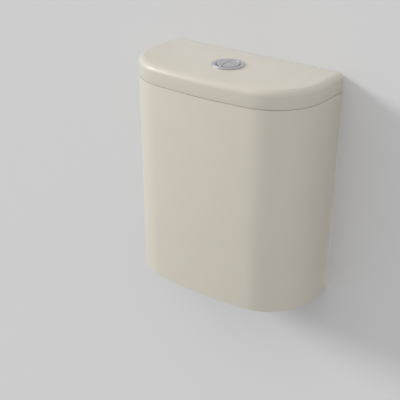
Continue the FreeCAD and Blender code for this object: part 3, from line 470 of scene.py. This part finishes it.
def turned(corners: Sequence[tuple[float, float]], place: Sequence[float],
           steps: int = 96) -> bmesh.types.BMesh:
    """Turn a closed profile round an upright axis.

    Args:
        corners: Radius and height of each corner, in millimetres.
        place: The axis' X and Y, in millimetres.
        steps: Number of steps in the full turn.

    Returns:
        The closed bmesh, its faces outwards.
    """
    mesh = bmesh.new()
    axis = (place[0] * MM, place[1] * MM, 0.0)
    start = mesh.verts.new((axis[0] + corners[0][0] * MM, axis[1], corners[0][1] * MM))
    tip = start
    for radius, z in corners[1:]:
        tip = sketch_run(mesh, tip, (axis[0] + radius * MM, axis[1], z * MM))
    if corners[0][0] > 0 or corners[-1][0] > 0:
        mesh.edges.new((tip, start))
    bmesh.ops.spin(mesh, geom=mesh.verts[:] + mesh.edges[:], cent=axis, axis=(0, 0, 1),
                   angle=math.tau, steps=steps, use_merge=True)
    bmesh.ops.remove_doubles(mesh, verts=mesh.verts, dist=SAME_POINT_MM * MM)
    bmesh.ops.recalc_face_normals(mesh, faces=mesh.faces)
    return mesh


# A thread's depth in pitches.
THREAD_DEPTH = 0.4
# A thread's ridge: how far its foot is sunk into the tail and how far its crest stays inside the
# stated radius, in millimetres; half the width of its foot and of its crest, in pitches; and the
# least share of its height at its ends.
THREAD_SINK_MM = 0.3
THREAD_PLAY_MM = 0.05
THREAD_FOOT = 0.46
THREAD_FLAT = 0.08
THREAD_END = 0.15


def thread(place: Sequence[float], root: float, crest: float, bottom: float, top: float,
           pitch: float, steps: int = 48) -> bmesh.types.BMesh:
    """An outside screw thread as one helical ridge with run-out ends.

    Args:
        place: The axis' X and Y, in millimetres.
        root: Radius at the thread's root.
        crest: Radius at its crest.
        bottom: Lowest height.
        top: Highest height.
        pitch: Rise in one turn.
        steps: Steps in one turn.

    Returns:
        The closed bmesh, its faces outwards.
    """
    mesh = bmesh.new()
    axis = Vector((place[0] * MM, place[1] * MM, 0.0))
    count = int((top - bottom - pitch) / pitch * steps)
    sunk = root - THREAD_SINK_MM
    tip = crest - THREAD_PLAY_MM
    half, flat_half = pitch * THREAD_FOOT, pitch * THREAD_FLAT
    first = [mesh.verts.new((axis.x + radius * MM, axis.y, (bottom + pitch / 2 + z) * MM))
             for radius, z in ((sunk, -half), (tip, -flat_half), (tip, flat_half), (sunk, half))]
    bmesh.ops.spin(mesh, geom=[mesh.faces.new(first)], cent=axis, axis=(0, 0, 1),
                   dvec=(0, 0, pitch * MM / steps), angle=math.tau * count / steps, steps=count,
                   use_merge=False)
    bmesh.ops.remove_doubles(mesh, verts=mesh.verts, dist=0.1 * SAME_POINT_MM * MM)
    bmesh.ops.recalc_face_normals(mesh, faces=mesh.faces)
    for vert in mesh.verts:
        outward = Vector((vert.co.x - axis.x, vert.co.y - axis.y, 0.0))
        reach = outward.length / MM
        if reach > (root + sunk) / 2:
            rise = vert.co.z / MM
            fade = min(1.0, (rise - bottom) / pitch, (top - rise) / pitch)
            kept = sunk + (reach - sunk) * max(THREAD_END, fade)
            vert.co.xy = axis.xy + outward.xy.normalized() * kept * MM
    return mesh


class Join(Enum):
    """How a tool shape changes a body."""

    CUT = "DIFFERENCE"
    ADD = "UNION"
    SHARE = "INTERSECT"


def worked(body: bmesh.types.BMesh,
           tools: Sequence[tuple[Join, bmesh.types.BMesh]]) -> bmesh.types.BMesh:
    """Cut and add closed shapes, one after another.

    Args:
        body: The closed shape that is worked on; it is freed.
        tools: What is done and with which closed shape; they are freed.

    Returns:
        The new bmesh.

    Raises:
        ValueError: If nothing is left of the shape.
    """
    holders = []
    for mesh in [body] + [tool for _, tool in tools]:
        data = bpy.data.meshes.new("work")
        mesh.to_mesh(data)
        mesh.free()
        holder = bpy.data.objects.new("work", data)
        bpy.context.scene.collection.objects.link(holder)
        holders.append(holder)
    for (join, _), tool in zip(tools, holders[1:]):
        step = holders[0].modifiers.new("work", "BOOLEAN")
        step.operation = join.value
        step.object = tool
        step.solver = "EXACT"
    bpy.context.view_layer.update()
    shaped = holders[0].evaluated_get(bpy.context.evaluated_depsgraph_get())
    result = bmesh.new()
    result.from_mesh(shaped.to_mesh())
    shaped.to_mesh_clear()
    for holder in holders:
        data = holder.data
        bpy.data.objects.remove(holder)
        bpy.data.meshes.remove(data)
    bmesh.ops.remove_doubles(result, verts=result.verts, dist=SAME_CUT_MM * MM)
    if not result.faces:
        raise ValueError("a cut or join left nothing of the shape")
    return result


def gathered(parts: Sequence[bmesh.types.BMesh]) -> bmesh.types.BMesh:
    """Put closed shapes that touch into one mesh; the parts are freed."""
    whole = bmesh.new()
    for part in parts:
        data = bpy.data.meshes.new("part")
        part.to_mesh(data)
        part.free()
        whole.from_mesh(data)
        bpy.data.meshes.remove(data)
    return whole


def cylinder(x: float, y: float, low: float, high: float, radius: float, steps: int = 64,
             along_y: bool = False) -> bmesh.types.BMesh:
    """A plain cylinder for cutting or joining, in millimetres.

    Args:
        x: X of its axis.
        y: Y of its axis, or its Z where it lies along Y.
        low: Where it starts along its axis.
        high: Where it ends.
        radius: Its radius.
        steps: Number of sides.
        along_y: Whether it lies along Y.

    Returns:
        The closed bmesh.
    """
    mesh = bmesh.new()
    bmesh.ops.create_cone(mesh, cap_ends=True, segments=steps, radius1=radius * MM,
                          radius2=radius * MM, depth=(high - low) * MM)
    middle = (low + high) / 2
    turn = Matrix.Rotation(math.radians(90), 4, "X") if along_y else Matrix.Identity(4)
    place = (x * MM, middle * MM, y * MM) if along_y else (x * MM, y * MM, middle * MM)
    bmesh.ops.transform(mesh, matrix=Matrix.Translation(place) @ turn, verts=mesh.verts)
    return mesh


@dataclass
class Tank:
    """The open tank: drafted walls, shadow groove under the lid, floor, ribs and bosses."""

    plan: Plan = field(default_factory=Plan)
    wall: float = 4.0
    bottom: float = -341.0
    floor_under: float = -319.0
    floor_top: float = -314.0
    groove: float = 1.8
    groove_height: float = 1.0
    edge: float = 0.8
    back_radius: float = 2.0
    valve_y: float = -81.0
    outlet_hole: float = 30.8
    inlet_x: float = 135.0
    inlet_y: float = -60.0
    inlet_hole: float = 11.0
    fixing_x: float = 100.0
    boss_radius: float = 11.0
    fixing_hole: float = 3.5
    boss_depth: float = 4.0
    rib_x: float = 75.0
    rib_half: float = 1.25
    rib_depth: float = 12.0
    nut_clear: float = 42.5
    fixing_reach: float = 20.0
    overlap: float = 10.0

    def shell(self) -> bmesh.types.BMesh:
        """The walls, floor and groove, without the holes.

        Returns:
            The closed bmesh.
        """
        top, bottom, wall, edge = self.plan.top, self.bottom, self.wall, self.edge
        inside = self.plan.narrowing
        sections = [(self.floor_under, inside(self.floor_under) + wall, wall),
                    (bottom + edge, inside(bottom) + wall, wall),
                    (bottom, inside(bottom) + wall, wall)]
        for turn in quarter(4):
            sections.append((bottom + edge * (1 - math.cos(turn)),
                             inside(bottom) + edge * (1 - math.sin(turn)), 0.0))
        groove_low = top - self.groove_height
        soft = edge / 2
        for turn in quarter(3):
            sections.append((groove_low - soft + soft * math.sin(turn),
                             inside(groove_low) + soft * (1 - math.cos(turn)), 0.0))
        sections += [(groove_low, self.groove, self.groove), (top, self.groove, self.groove),
                     (top, wall, wall),
                     (self.floor_top, inside(self.floor_top) + wall, wall)]
        return self.plan.skin(sections, self.back_radius)

    def build(self) -> bpy.types.Object:
        """The finished tank, with its holes, bosses and ribs.

        Returns:
            The new piece.
        """
        low, high = self.floor_under - self.overlap, self.floor_top + self.overlap
        inner_back = -self.wall / 2
        rib_low, rib_high = self.floor_under - self.rib_depth, self.floor_under + 1
        tools = [(Join.CUT, cylinder(0, self.valve_y, low, high, self.outlet_hole, 96))]
        ribs = [(0.0, self.valve_y + self.nut_clear, inner_back),
                (0.0, -self.front_at(0), self.valve_y - self.nut_clear)]
        for side in (-1, 1):
            boss_x, rib_x = side * self.fixing_x, side * self.rib_x
            tools += [(Join.CUT, cylinder(side * self.inlet_x, self.inlet_y, low, high,
                                          self.inlet_hole)),
                      (Join.ADD, cylinder(boss_x, 0, -self.wall - self.boss_depth, inner_back,
                                          self.boss_radius, 48, True)),
                      (Join.CUT, cylinder(boss_x, 0, -self.fixing_reach, self.overlap,
                                          self.fixing_hole, 32, True))]
            ribs.insert(0, (rib_x, -self.front_at(rib_x), inner_back))
        for x, front, back in ribs:
            tools.append((Join.ADD, box_block((x - self.rib_half, front, rib_low),
                                              (x + self.rib_half, back, rib_high))))
        return as_piece(worked(self.shell(), tools), "tank_moulding", GLOSS_ABS, ["tank_shell"],
                        SOFT_DEG)

    def front_at(self, x: float) -> float:
        """Distance from the wall of the skirt's middle at x."""
        radius = self.plan.front_radius - self.plan.narrowing(self.floor_under) - self.wall / 2
        return math.sqrt(radius ** 2 - x ** 2) - (self.plan.front_radius - self.plan.depth)


@dataclass
class Lid:
    """The loose lid: a shallow shell with a large rounded edge and a hole for the buttons."""

    plan: Plan = field(default_factory=Plan)
    top: float = 94.0
    wall: float = 3.5
    edge_radius: float = 12.0
    back_gap: float = 1.0
    low_edge: float = 0.6
    back_radius: float = 0.3
    hole: float = 26.0
    hole_low: float = 80.0
    hole_high: float = 100.0
    valve_y: float = -81.0
    tab_half: float = 1.25
    tab_length: float = 10.0
    tab_play: float = 4.6
    tab_low: float = 54.0
    tab_high: float = 82.0
    side_tab_y: float = -40.0
    front_tab_x: float = 60.0
    back_tab_x: float = 110.0

    def shell(self) -> bmesh.types.BMesh:
        """The hollow shell, without the hole and the tabs.

        Returns:
            The closed bmesh.
        """
        seam, wall, radius, low = self.plan.top, self.wall, self.edge_radius, self.low_edge
        inner = radius - wall
        middle = self.top - radius
        sections = [(middle + inner * math.sin(turn), wall + inner * (1 - math.cos(turn)),
                     self.back_gap + wall) for turn in reversed(quarter(12))]
        sections.append((seam, wall, self.back_gap + wall))
        sections += [(seam + low * (1 - math.cos(turn)), low * (1 - math.sin(turn)),
                      self.back_gap) for turn in quarter(3)]
        sections += [(middle + radius * math.sin(turn), radius * (1 - math.cos(turn)),
                      self.back_gap) for turn in quarter(12)]
        return self.plan.skin(sections, self.back_radius)

    def build(self) -> bpy.types.Object:
        """The finished lid, with its locating tabs under it.

        Returns:
            The new piece.
        """
        tools = [(Join.CUT, cylinder(0, self.valve_y, self.hole_low, self.hole_high, self.hole,
                                     96))]
        tools += [(Join.ADD, box_block(low, high)) for low, high in self.tabs()]
        return as_piece(worked(self.shell(), tools), "lid_moulding", GLOSS_ABS, ["cistern_lid"],
                        SOFT_DEG)

    def tabs(self) -> list[tuple[tuple[float, float, float], tuple[float, float, float]]]:
        """Where the locating tabs are: a lower and an upper block for each.

        Returns:
            The lowest and the highest corner of each block, in millimetres.
        """
        half, length, play = self.tab_half, self.tab_length, self.tab_play
        side_reach = self.plan.width / 2
        bow = self.plan.front_radius
        rows = []
        for side in (-1, 1):
            for inset, start, end in ((play, self.tab_low, self.plan.top + 1),
                                      (self.wall / 2, self.plan.top, self.tab_high)):
                near, far = side * (side_reach - play - length), side * (side_reach - inset)
                rows.append(((min(near, far), self.side_tab_y - half, start),
                             (max(near, far), self.side_tab_y + half, end)))
                front_x, back_x = side * self.front_tab_x, side * self.back_tab_x
                front = (bow - self.plan.depth
                         - math.sqrt((bow - inset) ** 2 - (self.front_tab_x + half) ** 2))
                rows.append(((front_x - half, front, start),
                             (front_x + half, front + length, end)))
                rows.append(((back_x - half, -play - length, start),
                             (back_x + half, -self.back_gap - inset, end)))
        return rows


@dataclass
class Buttons:
    """The dual-flush push buttons with their bezel."""

    valve_y: float = -81.0
    lid_top: float = 94.0
    bezel_radius: float = 30.1
    bore: float = 22.4
    rise: float = 2.8
    foot: float = 0.2
    land: float = 1.0
    outer_edge: float = 1.3
    inner_edge: float = 1.1
    flange: float = 28.3
    disc: float = 21.2
    button_top: float = 96.9
    button_low: float = 85.4
    split_centre: tuple[float, float] = (52.0, -75.0)
    split_radius: float = 58.0
    gap: float = 1.1
    wall: float = 2.0
    edge: float = 0.5
    reach: float = 5.0
    mark_depth: float = 0.25
    # X and Y from the valve's axis, and size, of the drops on each button.
    full_marks: tuple[tuple[float, float, float], ...] = ((2.0, 4.4, 3.4), (7.4, 4.4, 3.4))
    half_marks: tuple[tuple[float, float, float], ...] = ((-12.6, -6.4, 3.0),)
    drop_stretch: float = 0.9
    drop_taper: float = 0.55

    def bezel(self) -> bpy.types.Object:
        """The bright ring, domed outside and eased into the bore.

        Returns:
            The new piece.
        """
        top = self.lid_top + self.rise
        outer, inner = self.outer_edge, self.inner_edge
        land = self.lid_top + self.land
        profile = [(self.flange, self.lid_top), (self.bezel_radius - self.foot, self.lid_top),
                   (self.bezel_radius, self.lid_top + self.foot)]
        profile += [(self.bezel_radius - outer * (1 - math.cos(turn)),
                     top - outer * (1 - math.sin(turn))) for turn in quarter(8)]
        profile += [(self.bore + inner * (1 - math.sin(turn)),
                     top - inner * (1 - math.cos(turn))) for turn in quarter(6)]
        profile += [(self.bore, land), (self.flange, land)]
        return as_piece(turned(profile, (0, self.valve_y), 128), "bezel_ring", BRIGHT_CHROME,
                        ["button_bezel"], SHARP_DEG)

    def _blank(self, full: bool, inset: float, low: float, high: float) -> bmesh.types.BMesh:
        """Cut a disc by the split's curve.

        Args:
            full: Whether the full flush button's side is kept, or the half flush button's.
            inset: How far the outline has moved in, in millimetres.
            low: Height of its underside.
            high: Height of its top.

        Returns:
            The closed bmesh.
        """
        inward = -1 if full else 1
        x, y = self.split_centre
        disc = cylinder(0, self.valve_y, low, high, self.disc - inset, 128)
        split = cylinder(x, y, low - self.reach, high + self.reach,
                         self.split_radius + inward * (self.gap / 2 + inset), 256)
        return worked(disc, [(Join.SHARE if full else Join.CUT, split)])

    def _cap(self, full: bool) -> bmesh.types.BMesh:
        """Make one button: part of a rounded disc, hollow underneath, with its drops.

        Args:
            full: Whether it is the full flush button, or the half flush button.

        Returns:
            The closed bmesh.
        """
        outside = self._blank(full, 0.0, self.button_low, self.button_top)
        rim = [edge for edge in sharp_edges(outside)
               if all(vert.co.z > (self.button_top - 0.01) * MM for vert in edge.verts)]
        bmesh.ops.bevel(outside, geom=rim, offset=self.edge * MM, offset_type="OFFSET", segments=5,
                        profile=0.5, affect="EDGES", clamp_overlap=True, material=-1)
        inside = self._blank(full, self.wall, self.button_low - 1, self.button_top - self.wall)
        hollow = worked(outside, [(Join.CUT, inside)])
        marks = self.full_marks if full else self.half_marks
        return worked(hollow, [(Join.CUT, self._drop(x, y, size)) for x, y, size in marks])

    def _drop(self, x: float, y: float, size: float) -> bmesh.types.BMesh:
        """Draw a water drop as a thin prism that cuts a shallow mark into a button.

        Args:
            x: X of its middle.
            y: Y of its middle, from the valve's axis.
            size: Its width, in millimetres.

        Returns:
            The closed bmesh.
        """
        mesh = bmesh.new()
        radius = size * MM / 2
        bmesh.ops.create_circle(mesh, cap_ends=True, segments=24, radius=radius)
        for vert in mesh.verts:
            if vert.co.y > 0:
                pull = vert.co.y / radius
                vert.co.y *= 1 + self.drop_stretch * pull ** 2
                vert.co.x *= 1 - self.drop_taper * pull
        lifted = bmesh.ops.extrude_face_region(mesh, geom=mesh.faces[:])
        tops = [item for item in lifted["geom"] if isinstance(item, bmesh.types.BMVert)]
        bmesh.ops.translate(mesh, verts=tops, vec=(0, 0, 1 * MM))
        bmesh.ops.translate(mesh, verts=mesh.verts[:],
                            vec=(x * MM, (self.valve_y + y) * MM,
                                 (self.button_top - self.mark_depth) * MM))
        bmesh.ops.recalc_face_normals(mesh, faces=mesh.faces)
        return mesh

    def build(self) -> list[bpy.types.Object]:
        """The bezel and both buttons."""
        return [self.bezel(),
                as_piece(self._cap(True), "full_flush_cap", SATIN_CHROME, ["full_flush_button"]),
                as_piece(self._cap(False), "half_flush_cap", SATIN_CHROME, ["half_flush_button"])]


@dataclass
class Stage:
    """The wall, the lamp, the sky and the camera: none of it is part of the object."""

    wall_colour: str = "#D9D9D9"
    wall_roughness: float = 0.9
    key_strength: float = 1.6
    key_from: tuple[float, float, float] = (-2.1, -1.0, 0.84)
    key_width: float = 14.0
    sky_colour: str = "#FEFEFF"
    backdrop_colour: str = "#E4E4E3"
    world_strength: float = 0.525
    sky_strength: float = 0.64
    wall_glow: float = 0.6
    camera_place: tuple[float, float, float] = (0.90857, -1.39415, 0.5998)
    camera_turn: float = 36.49
    camera_fall: float = 25.92
    lens: float = 83.05
    wall_gap: float = 0.0006
    wall_reach: float = 5.0

    def build(self) -> None:
        """Set up everything round the object."""
        self._wall()
        self._lamps()
        self._world()
        self._camera()
        bpy.context.scene.view_settings.view_transform = "Standard"

    def _plane(self, name: str, corners: Iterable[Sequence[float]],
               material: bpy.types.Material) -> bpy.types.Object:
        """Make a flat stage piece.

        Args:
            name: Its name.
            corners: Its corners in order, in metres.
            material: What it is painted with.

        Returns:
            The new object.
        """
        mesh = bmesh.new()
        mesh.faces.new([mesh.verts.new(corner) for corner in corners])
        data = bpy.data.meshes.new(name)
        mesh.to_mesh(data)
        mesh.free()
        piece = bpy.data.objects.new(name, data)
        bpy.context.scene.collection.objects.link(piece)
        data.materials.append(material)
        piece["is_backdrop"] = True
        return piece

    def _paint(self, name: str, lets_light_in: bool) -> bpy.types.Material:
        """Pale matt wall paint that isn't seen from behind.

        Args:
            name: Name of the material.
            lets_light_in: Whether only the camera sees it, so that light reaches the object's back.

        Returns:
            The new material.
        """
        made = bpy.data.materials.new(name)
        made.use_nodes = True
        tree = made.node_tree
        tree.nodes.clear()
        paint = add_node(tree, "ShaderNodeBsdfPrincipled", None,
                         {"Base Color": linear(self.wall_colour), "Roughness": self.wall_roughness})
        clear = add_node(tree, "ShaderNodeBsdfTransparent")
        hidden = add_node(tree, "ShaderNodeNewGeometry").outputs["Backfacing"]
        if lets_light_in:
            seen = add_node(tree, "ShaderNodeLightPath").outputs["Is Camera Ray"]
            unseen = add_node(tree, "ShaderNodeMath", {"operation": "SUBTRACT"}, {0: 1.0, 1: seen})
            hidden = add_node(tree, "ShaderNodeMath", {"operation": "MAXIMUM"},
                              {0: hidden, 1: unseen.outputs["Value"]}).outputs["Value"]
        surface = add_node(tree, "ShaderNodeMixShader", None,
                           {0: hidden, 1: paint.outputs["BSDF"], 2: clear.outputs["BSDF"]})
        add_node(tree, "ShaderNodeOutputMaterial", None, {"Surface": surface.outputs["Shader"]})
        return made

    def _wall(self) -> None:
        """The wall: solid round the cistern, and open to light where it and its lifted lid are."""
        low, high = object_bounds()
        lift = JOINT_RANGE_MM["lid_lift"][1] * MM
        reach = self.wall_reach
        y = self.wall_gap
        bottom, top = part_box("tank_shell")[0].z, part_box("cistern_lid")[1].z + lift
        solid = self._paint("matt_wall_paint", False)
        open_behind = self._paint("matt_wall_paint_behind", True)
        for name, x0, x1, z0, z1, paint in (
                ("wall_left", -reach, low.x, -reach, reach, solid),
                ("wall_right", high.x, reach, -reach, reach, solid),
                ("wall_below", low.x, high.x, -reach, bottom, solid),
                ("wall_above", low.x, high.x, top, reach, solid),
                ("wall_behind", low.x, high.x, bottom, top, open_behind)):
            self._plane(name, ((x0, y, z0), (x1, y, z0), (x1, y, z1), (x0, y, z1)), paint)

    def _lamps(self) -> None:
        """A broad, far lamp from the left: its shadow falls right and down, as in the photo."""
        data = bpy.data.lights.new("key_lamp", "SUN")
        data.energy = self.key_strength
        data.angle = math.radians(self.key_width)
        lamp = bpy.data.objects.new("key_lamp", data)
        lamp.rotation_euler = (-Vector(self.key_from)).to_track_quat("-Z", "Y").to_euler()
        bpy.context.scene.collection.objects.link(lamp)

    def _world(self) -> None:
        """Pale light from all round, stronger from above; views and mirrors see a plain backdrop.

        Light from behind the wall is as strong as the wall's own glow, so the part of the wall that
        lets it in neither brightens nor darkens the object's front.
        """
        world = bpy.data.worlds.new("studio")
        bpy.context.scene.world = world
        world.use_nodes = True
        tree = world.node_tree
        tree.nodes.clear()
        toward = add_node(tree, "ShaderNodeTexCoord").outputs["Generated"]
        parts = add_node(tree, "ShaderNodeSeparateXYZ", None, {"Vector": toward})
        front = add_node(tree, "ShaderNodeMapRange", None,
                         {"Value": parts.outputs["Z"], "From Min": 0.0, "From Max": 1.0,
                          "To Min": self.world_strength,
                          "To Max": self.world_strength + self.sky_strength})
        behind = add_node(tree, "ShaderNodeMath", {"operation": "GREATER_THAN"},
                          {0: parts.outputs["Y"], 1: 0.0})
        strength = add_node(tree, "ShaderNodeMix", {"data_type": "FLOAT"},
                            {"Factor": behind.outputs["Value"], "A": front.outputs["Result"],
                             "B": self.wall_glow})
        glow = add_node(tree, "ShaderNodeBackground", None,
                        {"Color": linear(self.sky_colour),
                         "Strength": strength.outputs["Result"]})
        seen = add_node(tree, "ShaderNodeBackground", None,
                        {"Color": linear(self.backdrop_colour), "Strength": 1.0})
        ray = add_node(tree, "ShaderNodeLightPath")
        mirrored = add_node(tree, "ShaderNodeMath", {"operation": "MAXIMUM"},
                            {0: ray.outputs["Is Camera Ray"], 1: ray.outputs["Is Glossy Ray"]})
        mixed = add_node(tree, "ShaderNodeMixShader", None,
                         {0: mirrored.outputs["Value"], 1: glow.outputs["Background"],
                          2: seen.outputs["Background"]})
        add_node(tree, "ShaderNodeOutputWorld", None, {"Surface": mixed.outputs["Shader"]})

    def _camera(self) -> None:
        """The camera where the photograph was taken from."""
        data = bpy.data.cameras.new("camera")
        data.lens = self.lens
        data.sensor_width = 36.0
        data.clip_start = 0.05
        camera = bpy.data.objects.new("camera", data)
        camera.location = self.camera_place
        camera.rotation_euler = (math.radians(90 - self.camera_fall), 0.0,
                                 math.radians(self.camera_turn))
        bpy.context.scene.collection.objects.link(camera)
        bpy.context.scene.camera = camera


@dataclass(frozen=True)
class ThreadedPart:
    """A moulding with an outside thread on a round tail."""

    node: str
    place: tuple[float, float]
    crest: float
    bottom: float
    top: float
    pitch: float

    def build(self) -> bpy.types.Object:
        """Sink the tail to the thread's root and wind the thread round it.

        Returns:
            The new piece.
        """
        root = self.crest - self.pitch * THREAD_DEPTH
        clear = self.crest + 1
        sleeve = [(root, self.bottom), (clear, self.bottom), (clear, self.top), (root, self.top)]
        core = worked(refined(self.node), [(Join.CUT, turned(sleeve, self.place))])
        ridge = thread(self.place, root, self.crest, self.bottom, self.top, self.pitch)
        return as_piece(gathered([core, ridge]), f"{self.node}_threaded",
                        FINISH_OF_SLOT[SLOT_OF[self.node]], [self.node])


THREADED_PARTS = (
    ThreadedPart("flush_valve_base", (0.0, -81.0), 29.75, -359.5, -330.5, 3.0),
    ThreadedPart("fill_valve_stem", (-135.0, -60.0), 10.4, -354.5, -328.5, 1.8),
    ThreadedPart("blanking_plug", (135.0, -60.0), 10.4, -332.5, -327.5, 1.8),
)


@dataclass(frozen=True)
class ReturnSpring:
    """A button's coil spring; it rides on the button."""

    side: str
    place: tuple[float, float]
    coil: float = 4.0
    wire: float = 0.4
    low: float = 56.5
    high: float = 94.9
    turns: int = 7
    steps: int = 28

    def build(self) -> bpy.types.Object:
        """Wind the wire and let it follow the button.

        Returns:
            The new piece.
        """
        node, joint = f"{self.side}_return_spring", f"{self.side}_button_press"
        mesh = bmesh.new()
        x, y = self.place
        start = Matrix.Translation(((x + self.coil) * MM, y * MM, self.low * MM))
        bmesh.ops.create_circle(mesh, cap_ends=True, segments=10, radius=self.wire * MM,
                                matrix=start @ Matrix.Rotation(math.radians(90), 4, "X"))
        count = self.turns * self.steps
        bmesh.ops.spin(mesh, geom=mesh.faces[:], cent=(x * MM, y * MM, 0), axis=(0, 0, 1),
                       dvec=(0, 0, (self.high - self.low) * MM / count),
                       angle=math.tau * self.turns, steps=count, use_merge=False)
        bmesh.ops.recalc_face_normals(mesh, faces=mesh.faces)
        piece = as_piece(mesh, f"{self.side}_coil", DRAWN_STEEL, [node], 60)
        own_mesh(piece)
        return piece


RETURN_SPRINGS = (ReturnSpring("full", (13.4, -87.0)), ReturnSpring("half", (-13.4, -75.0)))


def dress_remaining() -> None:
    """Give every node that still shows a refined copy in its slot's finish."""
    for node, thing in frame["nodes"].items():
        if not thing.hide_render:
            as_piece(refined(node), f"{node}_moulding", FINISH_OF_SLOT[SLOT_OF[node]], [node])


def main() -> None:
    """Build the object's looks and the stage, in order."""
    logging.basicConfig(level=logging.INFO, format="%(name)s: %(message)s")
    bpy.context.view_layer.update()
    Tank().build()
    Lid().build()
    Buttons().build()
    for part in THREADED_PARTS:
        part.build()
    for spring in RETURN_SPRINGS:
        spring.build()
    dress_remaining()
    Stage().build()


if __name__ == "__main__":
    main()
